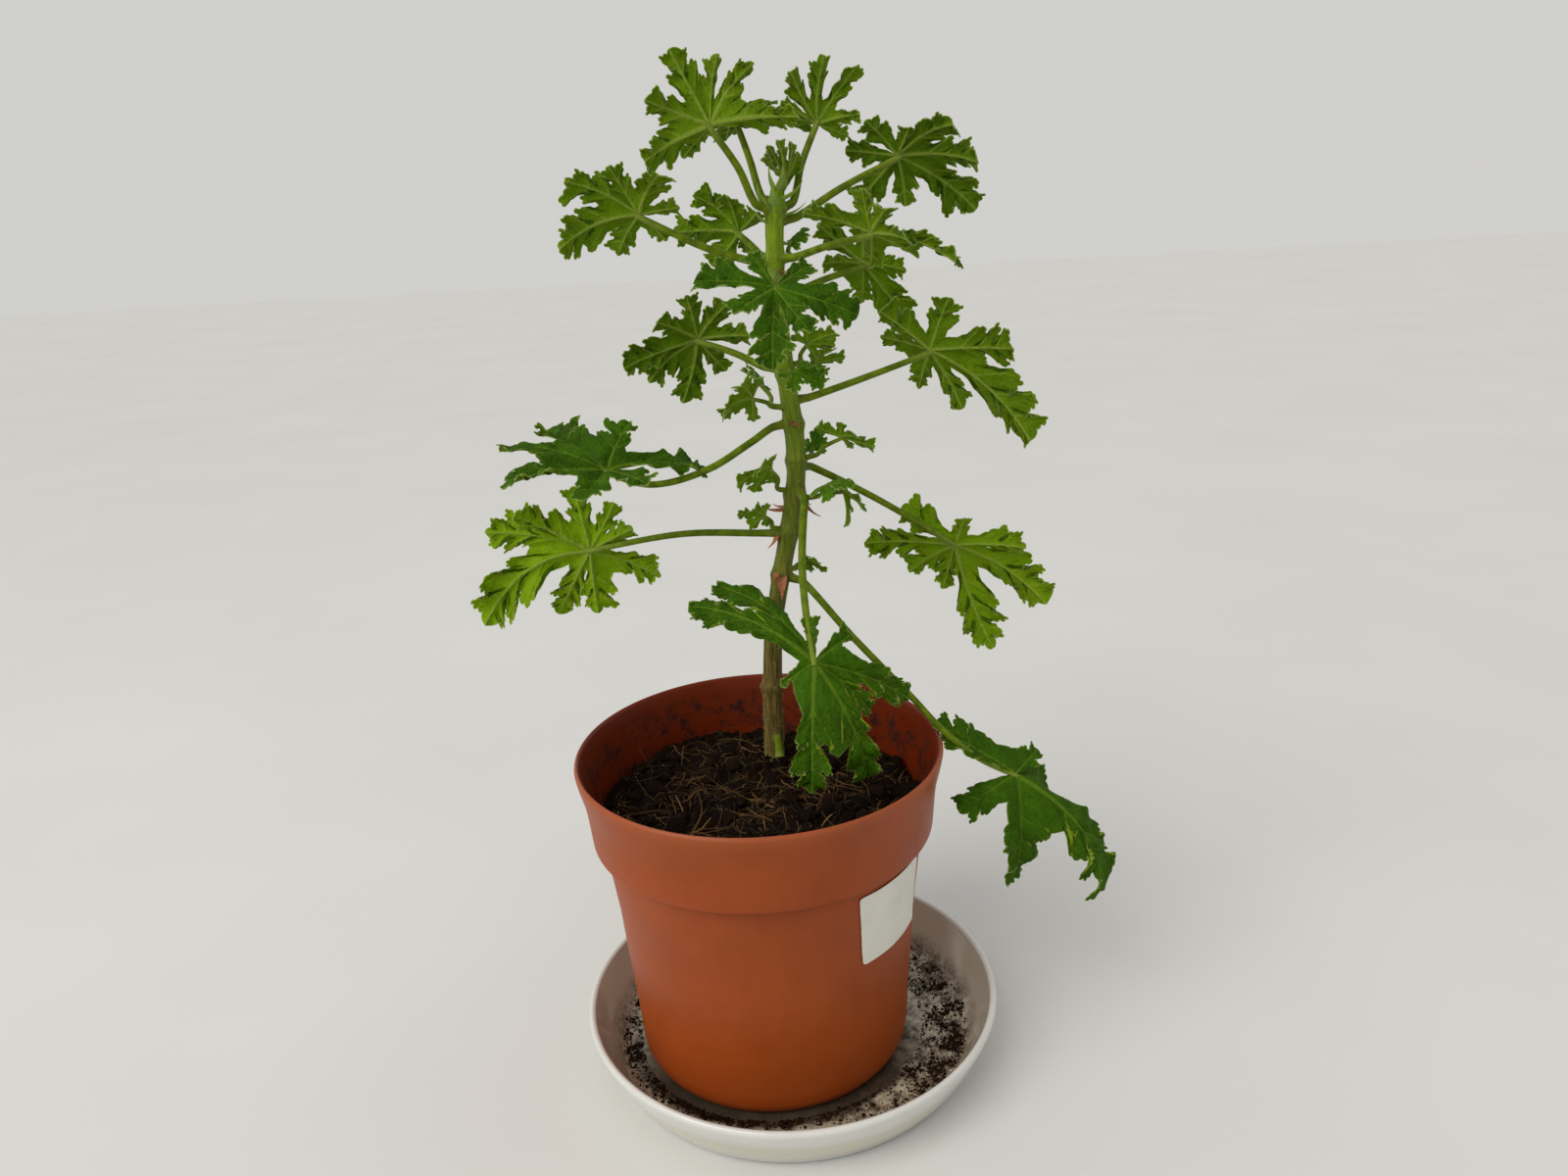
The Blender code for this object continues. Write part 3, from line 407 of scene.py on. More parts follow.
# root is the height at which the stalk leaves the stem, bearing the side that it leaves from, base where
# the blade begins, aim the midrib's heading, pitch and roll, and length its length; joins says how far out
# the blade is whole between two lobes, as a share of the shorter one, via gives points on the stalk's way,
# arch how far a plain stalk rises in its middle, stalk its thickness, widest the half angle of a lobe, fold
# how far its halves are folded up, tone how light the blade is, and start the foot of a stalk at the tip
leaves = {
    "leaf_top_front": dict(
        root=303, base=(-3, 10, 328), aim=(205, 15, 55), length=28,
        lobes=((-75, 0.50, 0), (-22, 1.0, -18), (6, 0.80, 10), (42, 0.90, 28), (88, 0.75, 32),
               (120, 0.85, 28), (148, 1.0, 8))),
    "leaf_top_rear": dict(
        root=305, bearing=130, base=(3, 42, 331), aim=(15, 14, -12), length=25,
        lobes=((-140, 0.70, 0), (-94, 0.72, 0), (-46, 0.90, 0), (-4, 1.1, 0), (40, 0.95, 0),
               (94, 0.72, 0), (140, 0.60, 0))),
    "leaf_top_right": dict(
        root=303, base=(31, 34, 328), aim=(290, 75, 0), length=22,
        lobes=((-84, 0.40, 0), (-58, 0.65, 0), (-32, 0.90, 0), (-4, 1.0, 0), (28, 1.0, -10),
               (62, 0.75, -25), (108, 0.50, -30))),
    "leaf_upper_right": dict(
        root=299, base=(57, 35, 317), aim=(350, -12, -60), length=33,
        lobes=((-140, 0.50, 0), (-88, 0.38, 0), (-44, 0.80, 0), (-10, 0.85, 0), (25, 1.0, 0),
               (72, 0.50, 0), (130, 0.62, 0), (172, 0.55, 0))),
    "leaf_upper_right_low": dict(
        root=287, base=(45, 5, 294), aim=(330, -12, -40), length=30,
        lobes=((-150, 0.75, 5), (-90, 0.55, 22), (-58, 0.55, 15), (-28, 0.70, 6), (2, 1.0, -8),
               (42, 0.60, 5), (100, 0.50, 5))),
    "leaf_upper_right_rear": dict(
        root=275, base=(46, 52, 282), aim=(10, -35, -60), length=25,
        lobes=((-172, 0.90, 0), (-135, 0.75, 0), (-84, 0.45, 0), (-36, 0.65, 0), (8, 1.0, 0),
               (60, 0.55, 0), (146, 0.60, 0))),
    "leaf_centre_front": dict(
        root=282, base=(14, -10, 280), aim=(268, -45, 0), length=27,
        lobes=((-145, 0.50, 8), (-96, 0.95, 8), (-46, 0.70, 10), (-4, 1.0, 0), (35, 0.75, 0),
               (74, 1.0, -6), (132, 0.55, -8))),
    "leaf_upper_left": dict(
        root=286, base=(-28, 18, 303), aim=(185, -8, 60), length=29.5, arch=-2.5,
        lobes=((-122, 0.42, 0), (-56, 0.52, 0), (-4, 1.0, 0), (37, 0.88, 0), (72, 0.62, 0),
               (122, 0.68, 0), (168, 0.48, 0))),
    "leaf_upper_left_rear": dict(
        root=284, bearing=110, base=(3, 54, 295), aim=(165, 8, 60), length=24,
        lobes=((-110, 0.48, 0), (-46, 0.72, 0), (-2, 1.0, 0), (38, 0.88, 0), (80, 0.72, 0), (122, 0.60, 0))),
    "leaf_middle_left": dict(
        root=251, base=(-13, 34, 261), aim=(180, -12, 65), length=28,
        lobes=((-120, 0.56, 0), (-58, 0.92, 0), (-28, 0.85, 0), (3, 1.0, 0), (50, 0.68, 0), (90, 0.58, 0),
               (138, 0.72, 0), (178, 0.70, 0))),
    "leaf_middle_right": dict(
        root=240, base=(68, 42, 252), aim=(0, -28, -65), length=48, arch=-1,
        lobes=((-162, 0.50, 0), (-96, 0.42, 0), (-42, 0.64, 0), (3, 1.0, 0), (34, 0.52, 0), (68, 0.36, 0),
               (166, 0.38, 0))),
    "leaf_lower_left_top": dict(
        root=232, base=(-44, 0, 224), aim=(190, 0, 0), length=39,
        via=((4, 19, 227.5), (-12, 9, 220.5), (-30, 3, 218)), widest=31,
        joins={2: 0.6, 3: 0.62, 4: 0.65, 5: 0.6},
        lobes=((-158, 1.0, 0), (-122, 0.62, 30), (-50, 0.85, 18), (-20, 1.0, 12), (14, 0.88, -8),
               (62, 0.50, 0), (118, 0.55, 4))),
    # this leaf's tone is set high: painted light shining through its underside from behind
    "leaf_lower_left": dict(
        root=193, base=(-58, 35, 187), aim=(180, 0, 75), length=50, arch=3, tone=1.2,
        joins={4: 0.58, 5: 0.62, 6: 0.5},
        lobes=((-150, 0.56, 0), (-94, 0.54, 0), (-60, 0.60, 0), (-31, 1.0, 0, -20), (8, 0.80, 0),
               (45, 0.64, 0), (84, 0.52, 0), (116, 0.40, 0), (154, 0.40, 0))),
    "leaf_lower_right": dict(
        root=216, bearing=50, base=(76, 38, 181), aim=(10, -30, -65), length=47, arch=2, tone=0.75,
        lobes=((-172, 0.56, 0), (-118, 0.30, 0), (-38, 0.55, 0), (2, 0.92, 0), (36, 1.0, 0),
               (70, 0.50, 0), (102, 0.46, 0), (150, 0.72, 0))),
    "leaf_over_pot": dict(
        root=208, bearing=295, base=(20.5, -20, 161), aim=(275, -60, 0), tone=0.85, length=47,
        via=((20, 14, 202), (18.5, 0, 188), (19, -12, 173)),
        stalk=1.45, widest=12, joins={2: 0.55, 4: 0.9, 5: 0.72, 6: 0.85, 7: 0.6, 8: 0.8},
        lobes=((-176, 0.34, -10), (-139, 1.04, -8, 12), (-121, 1.0, -2, 20), (-52, 0.30, -8),
               (-4, 0.95, -12), (22, 0.98, -16), (45, 0.62, -16), (68, 0.86, -16, -22),
               (128, 0.36, -22))),
    "leaf_past_rim": dict(
        root=176, bearing=345, base=(91.3, 0, 105.5), aim=(345, -50, 20), tone=0.85, length=50,
        via=((35, 13, 157), (55, 4, 136), (65, -3, 125.8), (78, -2, 113.5)),
        joins={2: 0.6, 5: 0.6},
        lobes=((-100, 0.50, -10), (-17, 0.84, -12), (9, 1.25, -10), (46, 0.48, -8), (92, 0.30, -4),
               (190, 0.68, -9))),
}

shoots = {
    "shoot_upper_left": dict(root=238, bearing=195, leaves=(
        dict(base=(5, 14, 243), aim=(205, 0, 55), length=15),
        dict(base=(8, 32, 244), aim=(120, 35, 40), length=11))),
    "shoot_upper_front": dict(root=248, bearing=300, leaves=(
        dict(base=(19, 13, 251), aim=(320, -25, 15), length=13),)),
    "shoot_upper_right": dict(root=252, bearing=20, leaves=(
        dict(base=(26, 36, 250), aim=(15, 10, -50), length=12),
        dict(base=(24, 29, 258), aim=(345, 30, -50), length=12))),
    "shoot_middle_right": dict(root=220, bearing=0, leaves=(
        dict(base=(34, 26, 226), aim=(350, -15, -55), length=13,
             lobes=((-150, 0.75, 0), (-92, 0.6, 0), (-40, 0.75, 0), (0, 1.0, 0), (48, 0.6, 0))),
        dict(base=(25, 30, 221), aim=(70, 65, 0), length=8))),
    "shoot_lower_right": dict(root=206, bearing=335, leaves=(
        dict(base=(28, 14, 212), aim=(315, 15, 10), length=12),
        dict(base=(34, 19, 209), aim=(340, -65, -30), length=14))),
    "shoot_middle_left": dict(root=209, bearing=205, leaves=(
        dict(base=(10, 15, 219), aim=(200, -20, 50), length=14),)),
    "shoot_lower_left": dict(root=195, bearing=190, leaves=(
        dict(base=(7, 20, 201), aim=(190, 0, 55), length=10),)),
    "shoot_low_right": dict(root=179, bearing=20, leaves=(
        dict(base=(19, 31, 180), aim=(0, -25, -40), length=10),)),
    "shoot_top_right": dict(root=287, bearing=20, leaves=(
        dict(base=(20, 30, 291), aim=(35, 45, 0), length=9),)),
    "growing_tip": dict(root=309, bearing=40, leaves=(
        dict(start=(17.5, 24, 309), base=(19.5, 25, 311), aim=(255, 80, 0), length=15, fold=0.9, widest=11,
             lobes=((-30, 0.70, 0), (-15, 0.88, 0), (0, 1.0, 0), (15, 0.84, 0), (30, 0.66, 0))),
        dict(start=(17.5, 24, 308.5), base=(20.5, 27, 310), aim=(60, 66, 0), length=10, fold=0.9, widest=13,
             lobes=((-36, 0.70, 0), (-18, 0.90, 0), (0, 1.0, 0), (18, 0.85, 0), (36, 0.66, 0))))),
}


def leafTurn(aim):
    heading, pitch, roll = (math.radians(a) for a in aim)
    return Matrix.Rotation(heading, 3, "Z") @ Matrix.Rotation(-pitch, 3, "Y") @ Matrix.Rotation(roll, 3, "X")


def leafPlace(leaf, bearing, radius, rise, lift, sweep):
    # bends points of the flat blade: each lobe lifts, then droops and sweeps round towards its tip
    droop = math.radians(blade["droop"]) / leaf["length"]
    start = -np.radians(lift + blade["cup"])
    end = start + droop * radius
    out = (np.sin(end) - np.sin(start)) / droop
    up = (np.cos(end) - np.cos(start)) / droop
    bearing = np.radians(bearing - sweep * (1 - radius / leaf["length"]))
    run = out + rise * np.sin(end)
    return np.stack([np.cos(bearing) * run, np.sin(bearing) * run, up + rise * np.cos(end)], -1)


def marginOf(teeth, reach, tangent, sinus, vary):
    # the rounded, toothed margin of half a lobe from its sinus to its tip, with a vein station for each point
    points, stations, veins = [sinus], [0.0], []
    previous, stationBefore = np.array(sinus), 0.0
    usual = math.tan(math.radians(teethRules["widest"]))
    begin, halfSteps = (0.40, 0.95), 30
    waist = teethRules["waist"] * reach * vary.uniform(0.5, 1.4)
    for k, (station, tip, notch) in enumerate(teeth):
        far, wide, deep = vary.uniform(0.95, 1.03), vary.uniform(0.80, 1.18), vary.uniform(0.6, 1.6)
        peak = reach * far * np.array((tip[0], tip[0] * tip[1] * tangent * wide))
        low = reach * far * np.array((notch[0], notch[0] * notch[1] * tangent * deep))
        following = teeth[k + 1][0] if k + 1 < len(teeth) else 1.0
        stationAfter = station + 0.45 * (following - station)
        # a curve through both notches and the tooth's tip, walked at an even pace
        handle = (8 * peak - previous - low) / 6
        widen = (low - previous) * 0.17
        t = np.linspace(0, 1, 2 * halfSteps + 1)[:, None]
        curve = ((1 - t) ** 3 * previous + 3 * t * (1 - t) ** 2 * (handle - widen)
                 + 3 * t * t * (1 - t) * (handle + widen) + t ** 3 * low)
        pace = np.concatenate([[0], np.cumsum(np.linalg.norm(np.diff(curve, axis=0), axis=1))])
        legs = ((begin, tip), (tip, notch))
        size = sum(math.hypot(a[0] - b[0], usual * (a[0] * a[1] - b[0] * b[1])) for a, b in legs)
        size *= reach  # the same on both sides of the lobe, so that their rows meet at the vein
        bumps = max(1, round(size / min(teethRules["roundingMm"], 0.9 + 0.075 * reach)))
        samples = bumps * teethRules["samples"]
        depth = min(teethRules["deepest"], 0.2 + 0.03 * reach)
        atTip = pace[halfSteps] / pace[-1]
        for i in range(1, samples + 1):
            share = i / samples
            walked = share * pace[-1]
            place, ahead, behind = (np.array([np.interp(at, pace, curve[:, axis]) for axis in (0, 1)])
                                    for at in (walked, walked + 0.2, walked - 0.2))
            run = ahead - behind
            normal = np.array((-run[1], run[0])) / (math.hypot(*run) + 1e-9)
            fadeIn = 1.0 if k else min(1.0, max(0.0, share * 4 - 0.6))
            place = place + normal * depth * fadeIn * (abs(math.sin(math.pi * bumps * share)) ** 0.65 - 0.8)
            if not k and share < atTip:
                place[1] -= waist * math.sin(math.pi * (share / atTip) ** 0.8) ** 2
            place[1] = max(place[1], 0.02 * reach)
            points.append(tuple(place))
            stations.append(stationBefore + (station - stationBefore) * share / atTip if share <= atTip
                            else station + (stationAfter - station) * (share - atTip) / (1 - atTip))
        veins.append((station * reach, tuple(peak * 0.97)))
        previous, stationBefore, begin = np.array(points[-1]), stationAfter, notch
    # the lobe's rounded tip
    tipSteps = 4
    for i in range(1, tipSteps + 1):
        turn = math.pi / 2 * i / tipSteps
        out = previous[0] + (reach - previous[0]) * math.sin(turn)
        points.append((out, previous[1] * math.cos(turn) * 1.15))
        stations.append(stationBefore + (1 - stationBefore) * i / tipSteps)
    points[-1] = (reach, 0.0)
    return np.array(points), np.array(stations) * reach, veins


def bladeMiddle(leaf, seed):
    # the blade's middle surface, with what each point needs for its relief and colour
    draw = random.Random(seed)
    fold = leaf.get("fold", blade["fold"])
    lobes = []
    for lobe in leaf.get("lobes", broadLobes if leaf["length"] > 20 else smallLobes):
        bearing, reach, lift, sweep = (*lobe, 0)[:4]
        reach *= leaf["length"] * draw.uniform(0.97, 1.03)
        lift, sweep = lift + draw.uniform(-20, 13), sweep + draw.uniform(-14, 14)
        lobes.append((bearing + draw.uniform(-2, 2), reach, lift, sweep))
    joins = leaf.get("joins", {})
    seams = []
    for i in range(len(lobes) + 1):
        if i == 0 or i == len(lobes):
            _, reach, lift, sweep = lobes[0] if i == 0 else lobes[-1]
            half = min(teethRules["outermost"], (360 - lobes[-1][0] + lobes[0][0]) / 2 - 4)
            radius = teethRules["outerSinus"] * reach
            seams.append(dict(gap=half, half=half, radius=radius, lift=lift, sweep=sweep))
        else:
            near, far = lobes[i - 1], lobes[i]
            _, _, lift, sweep = ((a + b) / 2 for a, b in zip(near, far))
            gap = (far[0] - near[0]) / 2
            join = joins.get(i, teethRules["sinus"] * draw.uniform(0.7, 1.4))
            seams.append(dict(gap=gap, half=min(gap, leaf.get("widest", teethRules["widest"])),
                              radius=join * min(near[1], far[1]), lift=lift, sweep=sweep))
    shares = np.array(blade["across"])
    last = len(shares) - 1
    points, faces = [np.zeros(3)], []
    notes = dict(vein=[0.0], edge=[4.0], puff=[0.0], rib=[1.0])
    seamIds = [None] * len(seams)
    vary = random.Random(seed + 200)
    for i, (bearing, reach, lift, sweep) in enumerate(lobes):
        curl, tipDrop = vary.uniform(*blade["curl"]), vary.uniform(*blade["tipDrop"])
        kind = "short" if reach > teethRules["shortLobe"] else "single"
        teeth = teethRules["long" if reach > teethRules["longLobe"] else kind]
        veinIds = None
        for side in (-1, 1):
            seamIndex = i if side < 0 else i + 1
            seam = seams[seamIndex]
            gap = math.radians(seam["gap"])
            sideCurl = curl + side * blade["shingle"] + vary.uniform(-0.05, 0.05)
            phase = vary.uniform(0, 6)
            sinus = (seam["radius"] * math.cos(gap), seam["radius"] * math.sin(gap))
            tangent = math.tan(math.radians(seam["half"]))
            margin, stations, veins = marginOf(teeth, reach, tangent, sinus, vary)
            rows = len(margin)
            start = np.stack([stations, np.zeros(rows)], -1)
            grid = start[:, None, :] + (margin - start)[:, None, :] * shares[None, :, None]
            u, v = grid[..., 0], grid[..., 1]
            angle, radius = np.arctan2(v, u), np.hypot(u, v)
            fade = np.clip(1 - (radius - seam["radius"]) / (0.3 * reach), 0, 1)
            blend = np.clip(angle / gap, 0, 1) * fade
            blend[0, 1:] = 1.0
            toMargin = np.linalg.norm(margin[:, None, :] - grid, axis=-1)
            # how far each point lies from the main vein and from the side veins, in vein half widths
            mainWidth = (0.26 + 0.32 * np.clip(1 - u / (0.8 * reach), 0, 1)) * min(1, 0.35 + reach / 45)
            mainVein = np.abs(v) / mainWidth
            nearest = np.abs(v)
            sideVein = np.full_like(u, 9.0)
            for station, tip in veins:
                a, b = np.array((station, 0.0)), np.array(tip)
                t = np.clip(((grid - a) @ (b - a)) / ((b - a) @ (b - a)), 0, 1)
                away = np.linalg.norm(grid - (a + t[..., None] * (b - a)), axis=-1)
                sideVein = np.minimum(sideVein, 0.3 + 0.25 * t + away / (0.24 * min(1, 0.4 + reach / 45)))
                nearest = np.minimum(nearest, away)
            rib = np.maximum(np.exp(-mainVein ** 2) * (1 - 0.5 * np.clip(u / reach, 0, 1)),
                             0.5 * np.exp(-(sideVein - 0.3) ** 2 / 2))
            puff = (1 - np.exp(-(nearest / 1.1) ** 2)) * np.clip(toMargin / 1.2, 0, 1) * min(1, reach / 25)
            # the lobe's own curl: its halves bend apart, its tip drops and its margin is ruffled
            outShare = np.clip((radius - seam["radius"]) / (reach - seam["radius"]), 0, 1)
            crossShare = np.clip(angle / math.radians(seam["half"]), 0, 1.3)
            bend = sideCurl * crossShare ** 2 * outShare ** 0.7 - tipDrop * outShare ** 2
            wave = np.sin(radius * math.tau / (4 + 0.12 * reach) + phase)
            ruffle = wave * shares[None, :] ** 2 * (1 - blend)
            rise = fold * v * (1 + (math.sin(math.radians(seam["half"])) / math.sin(gap) - 1) * blend)
            rise = rise + reach * (bend + blade["ruffle"] * ruffle * (0.3 + 0.7 * outShare))
            placed = leafPlace(leaf, bearing + side * np.degrees(angle), radius, rise,
                               lift + (seam["lift"] - lift) * blend, sweep + (seam["sweep"] - sweep) * blend)
            values = dict(vein=np.minimum(np.minimum(mainVein, sideVein), 8), edge=np.minimum(toMargin, 4.0),
                          puff=puff, rib=rib * min(1, 0.35 + reach / 40))
            # both sides of a lobe share the points on its vein, and neighbours those on their seam
            ids = np.zeros((rows, last + 1), int)
            for j in range(rows):
                for k in range(last + 1):
                    if j == 0 and k == 0:
                        ids[j, k] = 0
                    elif j == 0 and seamIds[seamIndex] is not None:
                        ids[j, k] = seamIds[seamIndex][k]
                    elif k == 0 and veinIds is not None:
                        ids[j, k] = veinIds[j]
                    elif j == rows - 1 and k > 0:
                        ids[j, k] = ids[j, 0]
                    else:
                        ids[j, k] = len(points)
                        points.append(placed[j, k])
                        for key in notes:
                            notes[key].append(float(values[key][j, k]))
            if seamIds[seamIndex] is None:
                seamIds[seamIndex] = list(ids[0])
            if veinIds is None:
                veinIds = list(ids[:, 0])
            for j in range(rows - 1):
                for k in range(last):
                    face = []
                    for corner in (ids[j, k], ids[j + 1, k], ids[j + 1, k + 1], ids[j, k + 1]):
                        if int(corner) not in face:
                            face.append(int(corner))
                    if len(face) > 2:
                        faces.append(tuple(face) if side > 0 else tuple(reversed(face)))
    return np.array(points), faces, {key: np.array(value) for key, value in notes.items()}


def addBlade(shape, leaf, seed):
    # gives the blade its two faces, with its veins raised below and sunk above, and hairs on its margin
    points, faces, notes = bladeMiddle(leaf, seed)
    normals = np.zeros_like(points)
    for size in (3, 4):
        some = np.array([f for f in faces if len(f) == size])
        if len(some):
            corners = points[some]
            crossed = np.cross(corners[:, 2] - corners[:, 0], corners[:, size - 1] - corners[:, 1])
            for column in range(size):
                np.add.at(normals, some[:, column], crossed)
    normals /= np.linalg.norm(normals, axis=1, keepdims=True) + 1e-12
    scale = min(1.0, 0.45 + leaf["length"] / 50)
    puffed = points + normals * (notes["puff"] * blade["puff"] * scale)[:, None]
    half = blade["thick"] * (0.5 + 0.5 * scale) / 2
    upper = puffed + normals * (half - blade["groove"] * notes["rib"] * scale)[:, None]
    lower = puffed - normals * (half + blade["rib"] * notes["rib"] * scale)[:, None]
    turn = np.array(leafTurn(leaf["aim"]))
    base = np.array(leaf["base"], float)
    count = len(points)
    layers = np.concatenate([upper, lower]) @ turn.T + base
    allFaces = faces + [tuple(count + i for i in reversed(f)) for f in faces]
    seen = {pair for face in faces for pair in zip(face, face[1:] + face[:1])}
    rim = sorted((a, b) for a, b in seen if (b, a) not in seen)
    for a, b in rim:
        allFaces.append((b, a, a + count, b + count))
    under = np.concatenate([np.zeros(count), np.ones(count)])
    draw = random.Random(seed + 900)
    tone = leaf.get("tone", 0.4 * draw.random())
    vein, edge = (list(np.tile(notes[key], 2)) for key in ("vein", "edge"))
    addTo(shape, [Vector(p) for p in layers], allFaces, 0, vein=vein, edge=edge, under=list(under), tone=tone)
    # fine hairs along the margin
    for a, b in rim:
        first, second = Vector(layers[a]), Vector(layers[b])
        third = Vector(layers[a + count])
        run = second - first
        out = run.cross(first - third)
        if out.length < 1e-9:
            continue
        out.normalize()
        if draw.random() < run.length * blade["marginHairsPerMm"]:
            way = (Vector([draw.uniform(-0.4, 0.4) for _ in range(3)]) - out).normalized()
            middle = (first + second) / 2
            away = middle - Vector(layers[:count].mean(0))
            if way.dot(away) < 0:
                way = -way
            addHair(shape, middle.lerp(third, 0.4), way, draw.uniform(*blade["hairLength"]), hairRadius, 2)


stalk = dict(
    radius=1.32, youngRadius=0.85, flare=0.40, flareReach=2.2, taper=0.22, sides=14,
    end=(1.1, 0.07, -0.13),  # where it ends below the blade, along, across and above the midrib's start
    hairsPerMm=4.5, hairLength=(0.3, 0.85),
)


def addStalk(shape, leaf, seed):
    # the leaf's stalk, from a flared foot in the stem into the ribs below the blade
    draw = random.Random(seed + 400)
    base = Vector(leaf["base"])
    x, y, _ = stemAt(leaf["root"])
    bearing = leaf.get("bearing", math.degrees(math.atan2(base.y - y, base.x - x)))
    thick = leaf.get("stalk", stalk["radius"])
    start, out = stemSurface(leaf["root"], bearing, 0.3, thick * (1 + stalk["flare"]))
    if "start" in leaf:
        out = Vector((0, 0, 1))
        start = Vector(leaf["start"]) + out * 0.3
    reach = (base - start).length
    end = base + leafTurn(leaf["aim"]) @ Vector(stalk["end"])
    via = leaf.get("via") or [start.lerp(base, 0.5) + Vector((0, 0, leaf.get("arch", 0.0)))]
    slant = (out + 0.8 * (Vector(via[0]) - start).normalized()).normalized()
    bends = [start, start + slant * min(4.0, reach / 4), *via, end]
    path = [start - slant * 1.4] + smoothPath(bends, 12 if reach > 30 else 7)
    length = sum((b - a).length for a, b in zip(path, path[1:]))
    radii, tones, walked = [], [], 0.0
    for i, point in enumerate(path):
        walked += (point - path[i - 1]).length if i else 0.0
        share = walked / length
        foot = stalk["flare"] * math.exp(-walked / stalk["flareReach"])
        radii.append(thick * (1.0 + foot - stalk["taper"] * share) * (1 - 0.22 * max(0, share - 0.95) / 0.05))
        tones.append(share)
    addTube(shape, path, radii, stalk["sides"], 1, ridges=3, ridgeDepth=0.05, tone=tones)
    crosses = frames(path)
    for _ in range(int(length * stalk["hairsPerMm"])):
        i = draw.randrange(1, len(path) - 1)
        across, other, tangent = crosses[i]
        turn = draw.uniform(0, math.tau)
        way = across * math.cos(turn) + other * math.sin(turn)
        spot = path[i].lerp(path[i + 1], draw.random())
        slanted = (way + tangent * draw.uniform(-0.3, 0.3)).normalized()
        root = spot + way * radii[i] * 0.93
        addHair(shape, root, slanted, draw.uniform(*stalk["hairLength"]), hairRadius, 2)


def buildLeaves(grown, young, stalks, hairs):
    # each leaf is seeded by its place in the list
    for seed, (name, leaf) in enumerate(leaves.items()):
        shape = newShape()
        addBlade(shape, leaf, seed)
        addStalk(shape, leaf, seed)
        makePiece(camel(name), shape, [grown, stalks, hairs], name)
    print("large leaves made")
    for number, (name, shoot) in enumerate(shoots.items()):
        shape = newShape()
        for i, leaf in enumerate(shoot["leaves"]):
            leaf = {"root": shoot["root"], "bearing": shoot["bearing"], "stalk": stalk["youngRadius"], **leaf}
            seed = 50 + 5 * number + i
            addBlade(shape, leaf, seed)
            addStalk(shape, leaf, seed)
        makePiece(camel(name), shape, [young, stalks, hairs], name)
    print("young shoots made")


def camel(name):
    first, *rest = name.split("_")
    return first + "".join(word.capitalize() for word in rest)


cutShoot = dict(root=113.0, bearing=285.0, end=(7.0, 19.6, 107.5), radius=1.35, sides=16, hairsPerRing=7)


def buildCutShoot(finishes):
    # a green stub cut off short, its end a little flared
    shape = newShape()
    start, out = stemSurface(cutShoot["root"], cutShoot["bearing"], 0.3, 1.5)
    end = Vector(cutShoot["end"])
    path = [start - out * 0.9] + smoothPath([start, start + out * 1.6, end], 9)
    steps = range(len(path))
    radii = [cutShoot["radius"] + 0.35 * math.exp(-i / 3) + 0.5 * max(0, (i - 12) / 7) ** 2 for i in steps]
    tones = [i / len(path) for i in steps]
    addTube(shape, path, radii, cutShoot["sides"], 0, ridges=5, ridgeDepth=0.06, tone=tones)
    draw = random.Random(5)
    for i, (across, other, _) in enumerate(frames(path)[2:-1]):
        for _ in range(cutShoot["hairsPerRing"]):
            turn = draw.uniform(0, math.tau)
            way = across * math.cos(turn) + other * math.sin(turn)
            addHair(shape, path[i + 2] + way * radii[i + 2] * 0.9, way, draw.uniform(0.3, 0.7), hairRadius, 1)
    makePiece("cutShoot", shape, finishes, "cut_shoot")
    print("cut shoot made")


# pot, saucer and soil

potShape = dict(
    foot=4.3, wall=1.7, rim=65.0, top=123.0, sides=144, fillet=1.0,
    drains=6, drainRadius=3.5, drainCircle=30.0, drainSides=20,
    outside=(  # height, radius; the collar begins at 92.4
        (4.3, 46.5), (5.2, 48.4), (8.0, 49.8), (12.0, 50.4), (30.0, 51.4), (50.0, 53.1), (66.0, 54.2),
        (78.0, 55.6), (91.6, 57.2), (92.4, 57.6), (92.8, 60.2), (93.8, 61.0), (100.0, 61.5), (106.0, 62.0),
        (110.5, 62.6), (114.0, 63.4), (118.0, 64.4), (120.8, 64.9), (121.8, 65.0),
    ),
    innerLevels=(110.5, 106.0, 95.0, 91.6, 87.0, 82.0, 77.0, 71.0, 30.0, 12.0),
)


def potOuter(z):
    return along(potShape["outside"], z)[0]


def potInner(z):
    return potOuter(z) - potShape["wall"]


def filleted(profile, radius):
    # rounds each corner of an outline by a fillet of about this radius
    steps = 4
    rounded = [profile[0]]
    for before, corner, after in zip(profile, profile[1:], profile[2:]):
        corner = Vector(corner)
        legs = [Vector(before) - corner, Vector(after) - corner]
        first, second = (corner + leg.normalized() * min(radius, 0.42 * leg.length) for leg in legs)
        for i in range(steps + 1):
            t = i / steps
            rounded.append(tuple(first * (1 - t) ** 2 + corner * 2 * t * (1 - t) + second * t * t))
    return rounded + [profile[-1]]


def addTurned(shape, profile, sides):
    # spins an outline that begins and ends on the axis
    points = []
    for r, z in profile[1:-1]:
        for k in range(sides):
            turn = math.tau * k / sides
            points.append((r * math.cos(turn), r * math.sin(turn), z))
    rings = len(profile) - 2
    faces = ringFaces(rings, sides)
    first, final = len(points), len(points) + 1
    points += [(0, 0, profile[0][1]), (0, 0, profile[-1][1])]
    for k in range(sides):
        faces.append((first, (k + 1) % sides, k))
        faces.append((final, (rings - 1) * sides + k, (rings - 1) * sides + (k + 1) % sides))
    addTo(shape, points, faces)


